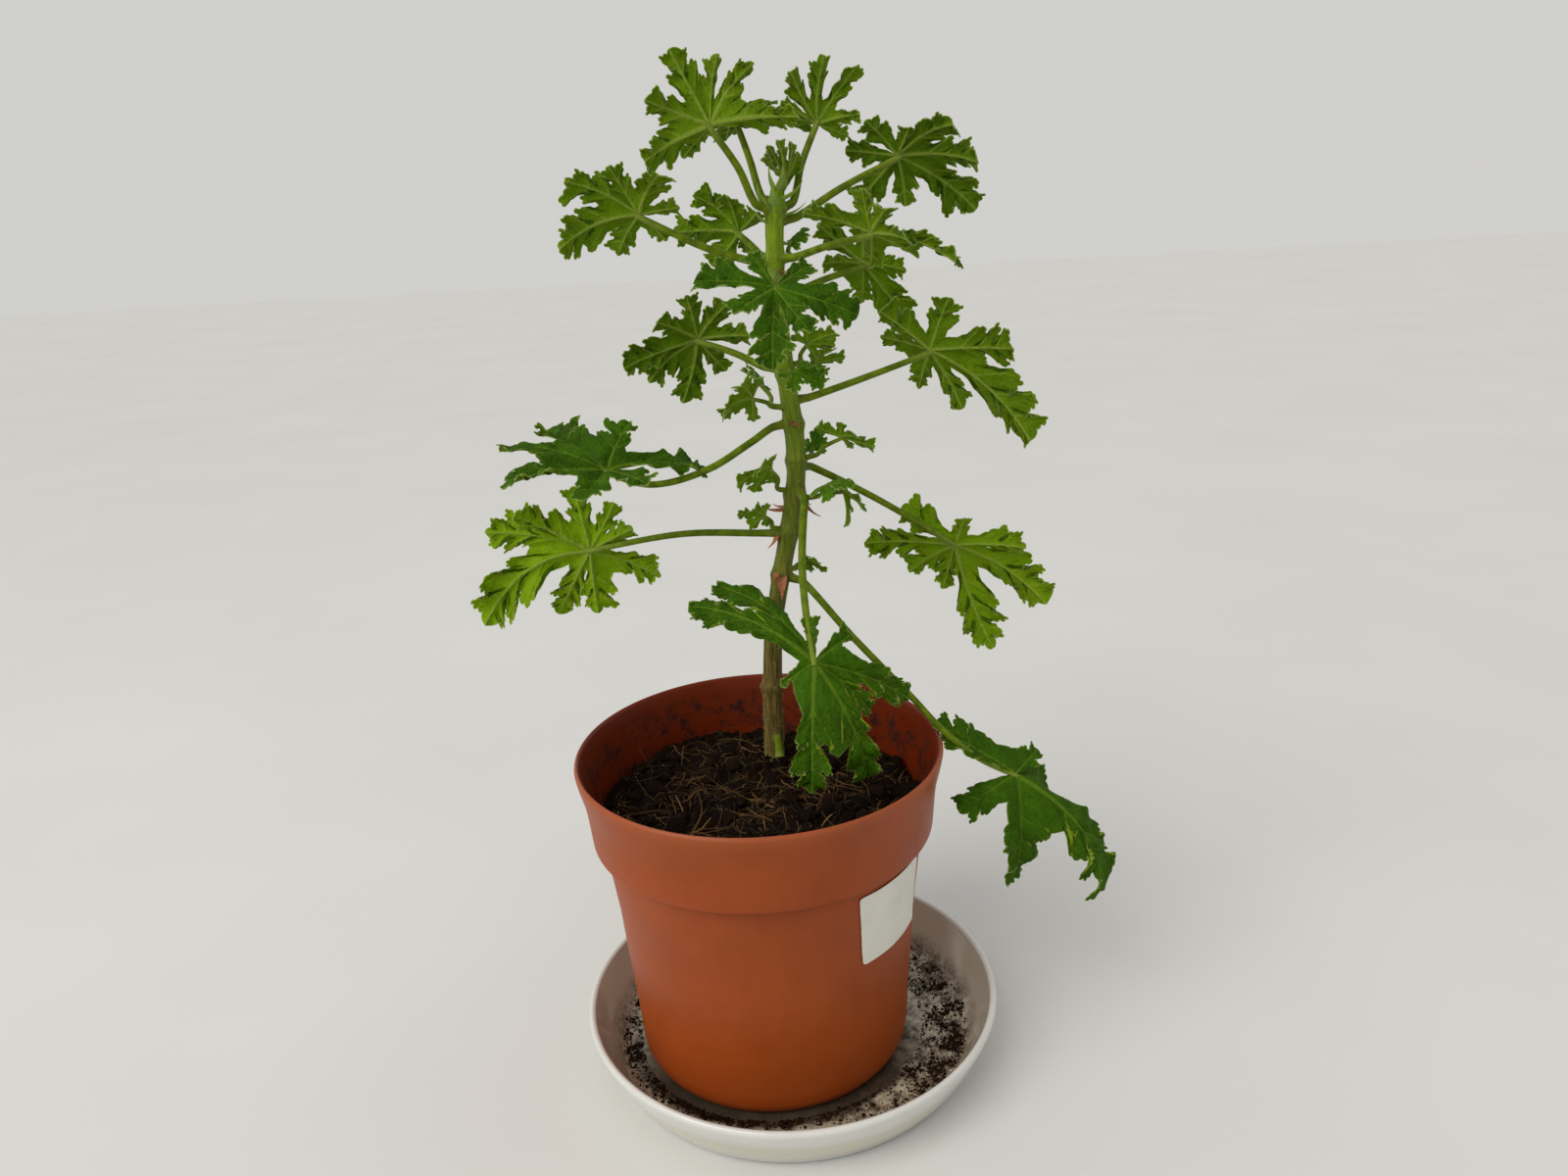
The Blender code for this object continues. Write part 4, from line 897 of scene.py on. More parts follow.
def buildPot(finish):
    # the turned wall and floor, with the drain holes cut through the floor
    p = potShape
    floorTop = p["foot"] + p["wall"]
    outer = [(r, z) for z, r in p["outside"]]
    lip = [(p["rim"] - 0.9, p["top"]), (p["rim"] - 1.8, p["top"] - 0.9), (p["rim"] - 2.8, p["top"] - 5.0)]
    inner = [(potInner(z), z) for z in p["innerLevels"]]
    floor = [(48.2, p["foot"] + 3.6), (46.0, floorTop)]
    outline = filleted([(0, p["foot"])] + outer + lip + inner + floor + [(0, floorTop)], p["fillet"])
    shape = newShape()
    addTurned(shape, outline, p["sides"])
    pot = makePiece("flowerPot", shape, [finish], "pot")
    for i in range(p["drains"]):
        turn = math.tau * (i + 0.5) / p["drains"]
        bm = bmesh.new()
        bmesh.ops.create_cone(bm, cap_ends=True, segments=p["drainSides"], radius1=p["drainRadius"] * mm,
                              radius2=p["drainRadius"] * mm, depth=10 * mm)
        bmesh.ops.translate(bm, verts=bm.verts, vec=((p["drainCircle"] * math.cos(turn) + potAxisX) * mm,
                                                     p["drainCircle"] * math.sin(turn) * mm, p["foot"] * mm))
        mesh = bpy.data.meshes.new("drainCutter")
        bm.to_mesh(mesh)
        bm.free()
        cutter = bpy.data.objects.new("drainCutter", mesh)
        bpy.context.scene.collection.objects.link(cutter)
        hole = pot.modifiers.new("drain", "BOOLEAN")
        hole.operation = "DIFFERENCE"
        hole.object = cutter
        bpy.context.view_layer.update()
        cut = pot.evaluated_get(bpy.context.evaluated_depsgraph_get())
        mesh = bpy.data.meshes.new_from_object(cut)
        pot.modifiers.clear()
        pot.data = mesh
        bpy.data.objects.remove(cutter, do_unlink=True)
    pot.data.name = "flowerPot"
    pot.data.set_sharp_from_angle(angle=math.radians(40))


stickerShape = dict(
    top=88.5, foot=60.0, begin=-55.5, end=-22.0, corner=1.4, lean=3.0, thick=0.22, gap=0.3,
    columns=44, rows=30,
    worn=0.12,  # how far the side edges are rubbed in and out
    lifted=0.35,  # how far the right edge stands off the wall
    liftReach=2.5,
    blister=0.12,
)


def buildSticker(finish):
    # a paper label with rounded corners that follows the wall, its side edges worn and the right one proud
    k = stickerShape
    middle, tall = (k["top"] + k["foot"]) / 2, k["top"] - k["foot"]
    width = math.radians(k["end"] - k["begin"]) * potOuter(middle)
    rows = k["rows"]
    corner = [0.0, 0.05, 0.2, 0.45, 0.75, 1.0]
    between = k["columns"] - 2 * len(corner)
    places = [c * k["corner"] for c in corner]
    places += [k["corner"] + (width - 2 * k["corner"]) * i / between for i in range(1, between)]
    places += [width - c * k["corner"] for c in reversed(corner)]
    shape = newShape()
    points, faces = [], []
    for layer in (0, 1):
        for place in places:
            inset = max(0.0, k["corner"] - min(place, width - place))
            trim = k["corner"] - math.sqrt(max(0.0, k["corner"] ** 2 - inset ** 2))
            turn = math.radians(k["begin"]) + place / potOuter(middle)
            for j in range(rows):
                z = k["foot"] + trim + (tall - 2 * trim) * j / (rows - 1)
                worn = k["worn"] * noise.noise(Vector((place, z, 2)) / 1.5) if place in (0.0, width) else 0.0
                lifted = k["lifted"] * max(0, (place - width + k["liftReach"]) / k["liftReach"]) ** 2
                blister = k["blister"] * max(0, noise.noise(Vector((place, z, 11)) / 7.0))
                r = potOuter(z) + k["gap"] + k["thick"] * layer + lifted + blister
                lean = turn + worn / middle - math.radians(k["lean"]) * (z - middle) / tall
                points.append((r * math.cos(lean), r * math.sin(lean), z))
    count = len(places) * rows
    for i in range(len(places) - 1):
        for j in range(rows - 1):
            a = i * rows + j
            faces.append((a, a + 1, a + rows + 1, a + rows))
            faces.append((a + count, a + rows + count, a + rows + 1 + count, a + 1 + count))
    rim = rimOf(len(places), rows)
    for a, b in zip(rim, rim[1:] + rim[:1]):
        faces.append((a, b, b + count, a + count))
    addTo(shape, points, [tuple(reversed(f)) for f in faces], 0)
    makePiece("paperSticker", shape, [finish], "sticker")


saucerShape = dict(
    rimRadius=77.0, footRadius=67.0, height=22.0, rimWidth=3.0, floor=4.0, sides=160, fillet=2.5,
    inside=((62.5, 4.0), (65.5, 5.0), (68.2, 8.0), (71.4, 14.0)),  # radius, height
)


def saucerInside(radius):
    # the height of the saucer's inner face
    s = saucerShape
    rim = (s["rimRadius"] - s["rimWidth"], s["height"] - 2)
    return along(((0.0, s["floor"]), *s["inside"], rim), radius)[0]


def buildSaucer(finish):
    s = saucerShape
    rimIn, rimOut, top = s["rimRadius"] - s["rimWidth"], s["rimRadius"], s["height"]
    outside = [(s["footRadius"] - 1.5, 0), (s["footRadius"], 0.8), (71.5, 7.5), (74.8, 14.5)]
    rim = [(rimOut, top - 1.8), (rimOut - 0.5, top - 0.4), (rimOut - 1.5, top), (rimIn + 0.4, top - 0.6),
           (rimIn, top - 2)]
    inside = [*reversed(s["inside"]), (0, s["floor"])]
    shape = newShape()
    addTurned(shape, filleted([(0, 0)] + outside + rim + inside, s["fillet"]), s["sides"])
    shape["points"] = [(x - potAxisX, y, z) for x, y, z in shape["points"]]
    makePiece("glazedSaucer", shape, [finish], "saucer")


soilShape = dict(
    level=99.5, rings=84, sides=190, foot=6.4,
    stemHeap=(4.0, 18.0),  # height and reach
    backHeap=(-22.0, 34.0, 4.0, 24.0),  # the same, after its place
    lump=3.6, crumb=0.9, pit=1.6,  # how far lumps and crumbs rise and pits sink
    sideLevels=(95.0, 91.6, 87.0, 82.0, 77.0, 71.0, 12.0, 8.8),
    clods=380, clodRing=56.5, largestClod=3.4,
    fibres=1250, fibreRing=55, fibreLimit=56.8, longestFibre=26.0, fibrePoints=6,
    threads=300, threadRing=52, threadLength=(3, 11),
)


def soilHeight(x, y):
    # heaped round the stem and at the back on the left
    stemX, stemY, _ = stemAt(soilShape["level"])
    height = soilShape["level"]
    for heapX, heapY, rise, reach in ((stemX, stemY, *soilShape["stemHeap"]), soilShape["backHeap"]):
        height += rise * math.exp(-((x - heapX) ** 2 + (y - heapY) ** 2) / reach ** 2)
    clods = noise.noise(Vector((x, y, 0)) / 11.0) + 0.5 * noise.noise(Vector((x, y, 9)) / 5.0)
    return height + soilShape["lump"] * clods


def crumbly(x, y):
    # the soil's surface with its crumbs and pits
    fine = noise.noise(Vector((x, y, 3)) / 2.6) + 0.6 * noise.noise(Vector((x, y, 7)) / 1.1)
    pits = abs(noise.noise(Vector((x, y, 5)) / 4.5))
    return soilHeight(x, y) + soilShape["crumb"] * fine - soilShape["pit"] * (0.3 - min(0.3, pits)) / 0.3


def addClod(shape, centre, radius, draw, tone):
    # a rough crumb: a ball of twenty faces, split once where it is large, its points moved in and out
    bm = bmesh.new()
    bmesh.ops.create_icosphere(bm, subdivisions=2 if radius > 0.9 else 1, radius=radius)
    squash = Vector((draw.uniform(0.7, 1.3), draw.uniform(0.7, 1.3), draw.uniform(0.5, 0.9)))
    offset = Vector((draw.uniform(0, 90), draw.uniform(0, 90), draw.uniform(0, 90)))
    points = []
    for vert in bm.verts:
        p = vert.co * (1 + 0.5 * noise.noise(vert.co / radius * 1.3 + offset))
        points.append(Vector((p.x * squash.x, p.y * squash.y, p.z * squash.z)) + centre)
    faces = [tuple(v.index for v in face.verts) for face in bm.faces]
    bm.free()
    addTo(shape, points, faces, tone=tone)


def buildSoil(peat, shreds):
    # the lumpy filling of the pot, with clods, shreds and threads on it
    s = soilShape
    sides = s["sides"]
    shape = newShape()
    edge = potInner(s["level"]) - 0.4
    points = []
    for i in range(1, s["rings"] + 1):
        share = i / s["rings"]
        for k in range(sides):
            turn = math.tau * k / sides
            x, y = edge * share * math.cos(turn), edge * share * math.sin(turn)
            points.append((x, y, crumbly(x, y) - 2.0 * max(0, share - 0.97) / 0.03))
    for z in s["sideLevels"]:
        for k in range(sides):
            turn = math.tau * k / sides
            r = potInner(z) - 0.5
            points.append((r * math.cos(turn), r * math.sin(turn), z))
    total = s["rings"] + len(s["sideLevels"])
    # the rings run from the top down, so each face is turned over
    faces = [(a, d, c, b) for a, b, c, d in ringFaces(total, sides)]
    first, final = len(points), len(points) + 1
    points += [(0, 0, crumbly(0, 0)), (0, 0, s["foot"])]
    for k in range(sides):
        j = (k + 1) % sides
        faces.append((first, k, j))
        faces.append((final, (total - 1) * sides + j, (total - 1) * sides + k))
    addTo(shape, points, faces, 0, tone=0.1)
    draw = random.Random(31)
    for _ in range(s["clods"]):
        r, turn = s["clodRing"] * math.sqrt(draw.random()), draw.uniform(0, math.tau)
        x, y = r * math.cos(turn), r * math.sin(turn)
        radius = min(s["largestClod"], 0.45 + draw.expovariate(1.1))
        addClod(shape, Vector((x, y, crumbly(x, y) + radius * 0.2)), radius, draw, draw.uniform(0, 0.35))
    for _ in range(s["fibres"]):
        # shreds of wood and peat moss that lie on the soil, closest together in the middle of the pot
        r, turn = s["fibreRing"] * draw.random() ** 0.75, draw.uniform(0, math.tau)
        x, y = r * math.cos(turn), r * math.sin(turn)
        length = min(s["longestFibre"], 2.5 + draw.expovariate(0.17))
        heading, bend = draw.uniform(0, math.tau), draw.gauss(0, 0.35)
        hump, lean = draw.uniform(0.1, 1.0), draw.gauss(0.04, 0.09)
        path = []
        for i in range(s["fibrePoints"]):
            t = i / (s["fibrePoints"] - 1) - 0.5
            px = x + length * t * math.cos(heading + bend * t)
            py = y + length * t * math.sin(heading + bend * t)
            out = math.hypot(px, py)
            if out > s["fibreLimit"]:
                px, py = px * s["fibreLimit"] / out, py * s["fibreLimit"] / out
            path.append(Vector((px, py, crumbly(px, py) * 0.4 + crumbly(x, y) * 0.6
                                + hump * (1 - 4 * t * t) + lean * length * (t + 0.5) + 0.1)))
        thick = draw.uniform(0.06, 0.15) if draw.random() < 0.92 else draw.uniform(0.2, 0.4)
        radii = [thick * (0.35 + 0.65 * math.sin(math.pi * (0.12 + 0.15 * i))) for i in range(len(path))]
        addTube(shape, path, radii, 4, 1, tone=draw.random() ** 1.6)
    for _ in range(s["threads"]):
        # fine threads that stand out of the peat
        r, turn = s["threadRing"] * math.sqrt(draw.random()), draw.uniform(0, math.tau)
        x, y = r * math.cos(turn), r * math.sin(turn)
        way = Vector((draw.uniform(-1, 1), draw.uniform(-1, 1), draw.uniform(0.15, 0.9))).normalized()
        length = draw.uniform(*s["threadLength"])
        side = way.orthogonal() * draw.uniform(-0.15, 0.15) * length
        base = Vector((x, y, crumbly(x, y) - 0.3))
        path = [base + way * length * t + side * math.sin(math.pi * t) for t in (0, 0.33, 0.66, 1.0)]
        addTube(shape, path, [0.10, 0.08, 0.07, 0.04], 3, 1, tone=draw.uniform(0.2, 0.9))
    makePiece("peatSoil", shape, [peat, shreds], "soil")


spillShape = dict(
    crumbs=7800, ring=(49, 66), potFoot=51.5, largest=0.9, shreds=60,
    # where crumbs gather: the middle and the spread of their bearing, and of their distance out
    right=(-10, 40), rightBand=(61.5, 3.0),
    front=(-115, 45), frontBand=(52, 2.0), frontShare=1.1,
    left=(165, 24), leftBand=(55, 3.5), leftShare=0.7,
)


def hump(value, middle, spread):
    # one in the middle, and less the farther a value lies from it
    return math.exp(-((value - middle) / spread) ** 2)


def buildSpill(peat, shreds):
    # crumbs washed out of the pot, most of them on the right of the saucer
    s = spillShape
    shape = newShape()
    draw = random.Random(77)
    made = 0
    while made < s["crumbs"]:
        turn = draw.uniform(-180, 180)
        radius = draw.uniform(*s["ring"])
        x, y = radius * math.cos(math.radians(turn)), radius * math.sin(math.radians(turn))
        fromPot = math.hypot(x - potAxisX, y)
        if fromPot < s["potFoot"]:
            continue
        right = hump(turn, *s["right"]) * (0.25 + 0.75 * hump(radius, *s["rightBand"]))
        front = s["frontShare"] * hump(turn, *s["front"]) * hump(fromPot, *s["frontBand"])
        left = s["leftShare"] * hump(abs(turn), *s["left"]) * hump(fromPot, *s["leftBand"])
        patches = noise.noise(Vector((x, y, 40)) / 6.5) + 0.5 * noise.noise(Vector((x, y, 44)) / 2.6)
        streaks = min(1.1, max(0.10, 0.55 + 1.8 * patches))
        if draw.random() > (right + front + left + 0.01) * streaks:
            continue
        size = min(s["largest"], 0.12 + draw.expovariate(7.5))
        height = saucerInside(radius) + size * 0.35
        addClod(shape, Vector((x - potAxisX, y, height)), size, draw, draw.uniform(0.1, 0.9))
        made += 1
    for _ in range(s["shreds"]):
        turn, radius = math.radians(draw.gauss(-15, 40)), draw.uniform(56, 64)
        heading, length = draw.uniform(0, math.tau), draw.uniform(1.5, 5)
        path = []
        for i in range(4):
            t = i / 3 - 0.5
            px = radius * math.cos(turn) + length * t * math.cos(heading + t)
            py = radius * math.sin(turn) + length * t * math.sin(heading + t)
            path.append(Vector((px - potAxisX, py, saucerInside(math.hypot(px, py)) + 0.2)))
        addTube(shape, path, [0.08, 0.12, 0.12, 0.06], 4, 1, tone=draw.random())
    makePiece("spiltPeat", shape, [peat, shreds], None)


# finishes

def leafFinish(name, upperDark, upperLight, underDark, underLight):
    # downy leaf: a dull green skin over soft flesh, with thin pale veins, that lets light through from behind
    finish, shader = newMaterial(name, 0.58, Subsurface_Weight=0.45, Subsurface_Scale=0.0012,
                                 Subsurface_Radius=(0.8, 1.2, 0.1), Specular_IOR_Level=0.05)
    tone, veinAway, edgeAway, under = (addNode(finish, "Attribute", {"attribute_name": key}, {}, "Fac")
                                       for key in ("tone", "vein", "edge", "under"))
    patches = patchesOf(finish, 8, 0.35, 0.65)
    mottle = patchesOf(finish, 1.5, 0.3, 0.7)
    place = addNode(finish, "TexCoord", output="Object")
    cells = addNode(finish, "TexVoronoi", {"feature": "DISTANCE_TO_EDGE"},
                    {"Vector": place, "Scale": 1000 / 1.7, "Randomness": 0.9}, "Distance")
    # fine netted veins, 1.7 mm apart
    net = addNode(finish, "MapRange", {}, {"Value": cells, "From Max": 0.14, "To Min": 1.0, "To Max": 0.0})
    vein = addNode(finish, "MapRange", {}, {"Value": veinAway, "From Min": 1.5, "From Max": 0.6})
    halo = addNode(finish, "MapRange", {}, {"Value": veinAway, "From Min": 6.0, "From Max": 0.5})
    edge = addNode(finish, "MapRange", {}, {"Value": edgeAway, "From Min": 0.38, "From Max": 0.05})
    outer = addNode(finish, "MapRange", {}, {"Value": edgeAway, "From Min": 3.0, "From Max": 0.6})
    upper = layered(finish, upperDark, (upperLight, patches), (upperLight, tone, 0.4),
                    (upperLight, mottle, 0.3), ("#5f8410", net, 0.12), ("#749128", vein, 0.42))
    # the underside is paler: partly the leaf's own paler underside, partly painted light shining through the
    # blade from behind
    lower = layered(finish, underDark, (underLight, patches, 0.25), (underLight, tone, 0.9),
                    (underLight, halo, 0.15), (underDark, outer, 0.12), ("#7d9432", net, 0.14),
                    ("#8b9a44", vein, 0.55))
    # the pale margin is painted sheen of the down along the blade's edge
    colour = layered(finish, upper, (lower, under), ("#93a55c", edge, 0.45))
    grain = patchesOf(finish, 0.35, 0, 1, 2)
    quilt = patchesOf(finish, 4.5, 0, 1, 2)
    height = 0.0
    for layer, weight in ((grain, 0.2), (cells, 1.2), (quilt, 4.5)):
        height = addNode(finish, "Math", {"operation": "MULTIPLY_ADD"}, {0: layer, 1: weight, 2: height})
    bump = addNode(finish, "Bump", {}, {"Height": height, "Strength": 0.8, "Distance": 0.45 * mm})
    wire(finish, shader, {"Base Color": colour, "Normal": bump})
    return finish


def stalkFinish():
    # leaf stalk: smooth, slightly ribbed green with a soft down on it
    finish, shader = newMaterial("leafStalkDowny", 0.5, Subsurface_Weight=0.2, Subsurface_Scale=0.0012,
                                 Subsurface_Radius=(0.8, 1.1, 0.2), Specular_IOR_Level=0.1)
    share = addNode(finish, "Attribute", {"attribute_name": "tone"}, {}, "Fac")
    tip = addNode(finish, "MapRange", {}, {"Value": share, "From Min": 0.75})
    root = addNode(finish, "MapRange", {}, {"Value": share, "From Min": 0.08, "From Max": 0.0})
    patches = patchesOf(finish, 3, 0.35, 0.65)
    colour = layered(finish, "#4e6208", ("#6a7e10", patches), ("#8a9a44", tip, 0.5), ("#6c6a28", root, 0.5))
    down = patchesOf(finish, 0.4, 0, 1, 2)
    bump = addNode(finish, "Bump", {}, {"Height": down, "Strength": 0.6, "Distance": 0.08 * mm})
    wire(finish, shader, {"Base Color": colour, "Normal": bump})
    return finish


def stemFinish():
    # soft-wooded stem: bark brown and cracked at the foot, green and downy higher up
    finish, shader = newMaterial("softWoodStem", 0.62, Specular_IOR_Level=0.2)
    place = addNode(finish, "TexCoord", output="Object")
    height = addNode(finish, "SeparateXYZ", {}, {"Vector": place}, "Z")
    ring = addNode(finish, "Attribute", {"attribute_name": "tone"}, {}, "Fac")
    streaks = patchesOf(finish, 1.1, 0.38, 0.62, 4, 0.6, (1, 1, 0.10))
    fine = patchesOf(finish, 0.5, 0.35, 0.65, 3, 0.6, (1, 1, 0.2))
    # the bark turns green at a height that wanders round the stem
    wander = addNode(finish, "Math", {"operation": "MULTIPLY_ADD"},
                     {0: patchesOf(finish, 14, 0, 1, 2), 1: 30 * mm, 2: height})
    greening = addNode(finish, "MapRange", {},
                       {"Value": wander, "From Min": 150 * mm, "From Max": 205 * mm})
    freshening = addNode(finish, "MapRange", {},
                         {"Value": wander, "From Min": 225 * mm, "From Max": 285 * mm})
    swelling = addNode(finish, "MapRange", {}, {"Value": ring, "From Min": 0.25, "From Max": 0.7})
    bark = layered(finish, "#43300f", ("#77652a", streaks), ("#8f8048", fine, 0.40))
    olive = layered(finish, "#4e5c0c", ("#6a7418", streaks))
    fresh = layered(finish, "#5e7a06", ("#7d9a0a", streaks))
    colour = layered(finish, bark, (olive, greening), (fresh, freshening), ("#5b4a26", swelling, 0.6))
    relief = addNode(finish, "Math", {"operation": "MULTIPLY_ADD"}, {0: fine, 1: 0.5, 2: streaks})
    bump = addNode(finish, "Bump", {}, {"Height": relief, "Strength": 0.8, "Distance": 0.22 * mm})
    wire(finish, shader, {"Base Color": colour, "Normal": bump})
    return finish


def scaleFinish():
    # dry papery scale: thin, rusty brown and fibrous
    finish, shader = newMaterial("dryScalePapery", 0.7, Subsurface_Weight=0.1, Subsurface_Scale=0.001)
    tone = addNode(finish, "Attribute", {"attribute_name": "tone"}, {}, "Fac")
    streaks = patchesOf(finish, 0.8, 0, 1, 4)
    worn = addNode(finish, "MapRange", {}, {"Value": streaks, "From Min": 0.4, "From Max": 0.7})
    colour = layered(finish, "#7d3a20", ("#a8623a", tone), ("#c08a5c", worn, 0.6))
    bump = addNode(finish, "Bump", {}, {"Height": streaks, "Strength": 1.0, "Distance": 0.1 * mm})
    wire(finish, shader, {"Base Color": colour, "Normal": bump})
    return finish


def hairFinish():
    # plant hairs: fine, pale and slightly clear, and drawn coarser than real down so that they show
    finish, shader = newMaterial("plantHair", 0.4, Subsurface_Weight=0.2, Subsurface_Scale=0.001)
    colour = layered(finish, "#b9c48a", ("#d9dcb6", patchesOf(finish, 4, 0.3, 0.7, 2)))
    wire(finish, shader, {"Base Color": colour})
    return finish


def potFinish():
    # moulded polypropylene coloured like terracotta: satin, with scuffs, grit and soil left on it
    finish, shader = newMaterial("polypropyleneTerracotta", 0.42, IOR=1.49, Specular_IOR_Level=0.25,
                                 Subsurface_Weight=0.06, Subsurface_Scale=0.003,
                                 Subsurface_Radius=(1.0, 0.35, 0.15))
    place = addNode(finish, "TexCoord", output="Object")
    across, back, height = (addNode(finish, "SeparateXYZ", {}, {"Vector": place}, axis) for axis in "XYZ")
    cloud = patchesOf(finish, 34, 0.3, 0.7)
    flow = patchesOf(finish, 3, 0.3, 0.7, 4, 0.6, (1, 1, 0.16))
    foot = addNode(finish, "MapRange", {}, {"Value": height, "From Min": 45 * mm, "From Max": 8 * mm})
    # a painted highlight: the lip is coloured lighter and pinker where the rim catches the light
    lip = addNode(finish, "MapRange", {}, {"Value": height, "From Min": 117.5 * mm, "From Max": 122.2 * mm})
    # inside the wall: painted shade, darker than outside, with soil dried on above the soil line
    normal = addNode(finish, "NewGeometry", output="Normal")
    aside = addNode(finish, "Math", {"operation": "ADD"}, {0: across, 1: -potAxisX * mm})
    outwards = addNode(finish, "CombineXYZ", {}, {"X": aside, "Y": back})
    facing = addNode(finish, "VectorMath", {"operation": "DOT_PRODUCT"}, {0: outwards, 1: normal}, "Value")
    inside = addNode(finish, "MapRange", {}, {"Value": facing, "From Min": 0.0, "From Max": -2 * mm})
    dirt = patchesOf(finish, 6, 0.48, 0.62, 6, 0.7)
    low = addNode(finish, "MapRange", {}, {"Value": height, "From Min": 120 * mm, "From Max": 112 * mm})
    dirtLow = addNode(finish, "Math", {"operation": "MULTIPLY"}, {0: dirt, 1: low})
    smear = addNode(finish, "Math", {"operation": "MULTIPLY"}, {0: dirtLow, 1: inside})
    specks = patchesOf(finish, 1.3, 0.755, 0.80, 2, 0.5)
    colour = layered(finish, "#8a3b0e", ("#9a4514", cloud), ("#a75326", flow, 0.12), ("#a84a0c", foot, 0.35),
                     ("#a35d3c", lip, 0.35), ("#6a1f02", inside, 0.9), ("#1c0d07", smear, 0.9),
                     ("#5b2c1a", specks, 0.7))
    satin = addNode(finish, "MapRange", {}, {"Value": cloud, "To Min": 0.36, "To Max": 0.50})
    rough = addNode(finish, "Math", {"operation": "MULTIPLY_ADD"}, {0: smear, 1: 0.4, 2: satin})
    relief = addNode(finish, "Math", {"operation": "MULTIPLY_ADD"},
                     {0: patchesOf(finish, 0.5, 0, 1, 2), 1: 0.5, 2: flow})
    bump = addNode(finish, "Bump", {}, {"Height": relief, "Strength": 0.5, "Distance": 0.05 * mm})
    wire(finish, shader, {"Base Color": colour, "Roughness": rough, "Normal": bump})
    return finish


def glazeFinish():
    # glazed earthenware: a clear glossy coat over cream, pooled in faint waves, with washed-out soil on it
    finish, shader = newMaterial("glazedEarthenwareCream", 0.14, IOR=1.52, Coat_Weight=0.3,
                                 Coat_Roughness=0.06)
    place = addNode(finish, "TexCoord", output="Object")
    across, back, height = (addNode(finish, "SeparateXYZ", {}, {"Vector": place}, axis) for axis in "XYZ")
    flat = addNode(finish, "CombineXYZ", {}, {"X": across, "Y": back})
    radius = addNode(finish, "VectorMath", {"operation": "LENGTH"}, {0: flat}, "Value")
    above = addNode(finish, "MapRange", {}, {"Value": height, "From Min": 3.0 * mm, "From Max": 3.6 * mm})
    within = addNode(finish, "MapRange", {}, {"Value": radius, "From Min": 75.5 * mm, "From Max": 73.5 * mm})
    middle = addNode(finish, "MapRange", {}, {"Value": radius, "From Min": 70.0 * mm, "From Max": 65.5 * mm})
    onFloor = addNode(finish, "Math", {"operation": "MULTIPLY"}, {0: middle, 1: above})
    # most of the soil dried on the right, some on the left
    right = addNode(finish, "MapRange", {}, {"Value": across, "From Max": 35 * mm, "To Min": 0.25})
    left = addNode(finish, "MapRange", {},
                   {"Value": across, "From Min": -30 * mm, "From Max": -58 * mm, "To Max": 0.75})
    sides = addNode(finish, "Math", {"operation": "MAXIMUM"}, {0: right, 1: left})
    stain = patchesOf(finish, 9, 0.40, 0.56, 7, 0.78)
    stained = addNode(finish, "Math", {"operation": "MULTIPLY"}, {0: stain, 1: sides})
    dust = addNode(finish, "Math", {"operation": "MULTIPLY"}, {0: onFloor, 1: stained})
    grit = patchesOf(finish, 1.2, 0.47, 0.55, 4, 0.75)
    # a dark band on the saucer's floor, round the front of the pot's foot
    aside = addNode(finish, "Math", {"operation": "ADD"}, {0: across, 1: -potAxisX * mm})
    fromPot = addNode(finish, "CombineXYZ", {}, {"X": aside, "Y": back})
    footAway = addNode(finish, "VectorMath", {"operation": "LENGTH"}, {0: fromPot}, "Value")
    wander = addNode(finish, "Math", {"operation": "MULTIPLY_ADD"},
                     {0: patchesOf(finish, 5, 0, 1, 4, 0.65), 1: 8 * mm, 2: footAway})
    darkFootBand = addNode(finish, "MapRange", {}, {"Value": wander, "From Min": 60.5 * mm, "From Max": 58.0 * mm})
    front = addNode(finish, "MapRange", {}, {"Value": back, "From Min": 5 * mm, "From Max": -30 * mm})
    colour = layered(finish, "#cdcdc9", ("#d8d8d3", patchesOf(finish, 30, 0.3, 0.7)),
                     ("#c5bea9", within, above, 0.8), ("#bdb398", onFloor, 0.75), ("#5f4b31", dust, 0.95),
                     ("#1d130a", grit, dust, 0.95), ("#21150c", darkFootBand, front, onFloor, 0.9))
    rough = addNode(finish, "MapRange", {}, {"Value": dust, "To Min": 0.13, "To Max": 0.75})
    waves = patchesOf(finish, 16, 0, 1, 2)
    bump = addNode(finish, "Bump", {}, {"Height": waves, "Strength": 0.35, "Distance": 0.10 * mm})
    wire(finish, shader, {"Base Color": colour, "Roughness": rough, "Normal": bump})
    return finish


def peatFinish():
    # damp peat: nearly black and crumbly, with browner dry crumbs
    finish, shader = newMaterial("peatDamp", 0.95, Specular_IOR_Level=0.08)
    tone = addNode(finish, "Attribute", {"attribute_name": "tone"}, {}, "Fac")
    damp = patchesOf(finish, 2.2, 0.35, 0.7, 5, 0.65)
    colour = layered(finish, "#080402", ("#180d07", damp), ("#33200f", tone))
    crumbs = patchesOf(finish, 0.8, 0, 1, 5, 0.7)
    bump = addNode(finish, "Bump", {}, {"Height": crumbs, "Strength": 1.0, "Distance": 0.5 * mm})
    wire(finish, shader, {"Base Color": colour, "Normal": bump})
    return finish


def fibreFinish():
    # shreds of wood and bark: dull tan to dark brown
    finish, shader = newMaterial("barkShreds", 0.8, Specular_IOR_Level=0.25)
    tone = addNode(finish, "Attribute", {"attribute_name": "tone"}, {}, "Fac")
    dry = addNode(finish, "MapRange", {}, {"Value": tone, "From Min": 0.25})
    soiled = patchesOf(finish, 1.2, 0.35, 0.7)
    colour = layered(finish, "#110904", ("#96703f", dry), ("#2c1b0f", soiled, 0.6))
    wire(finish, shader, {"Base Color": colour})
    return finish


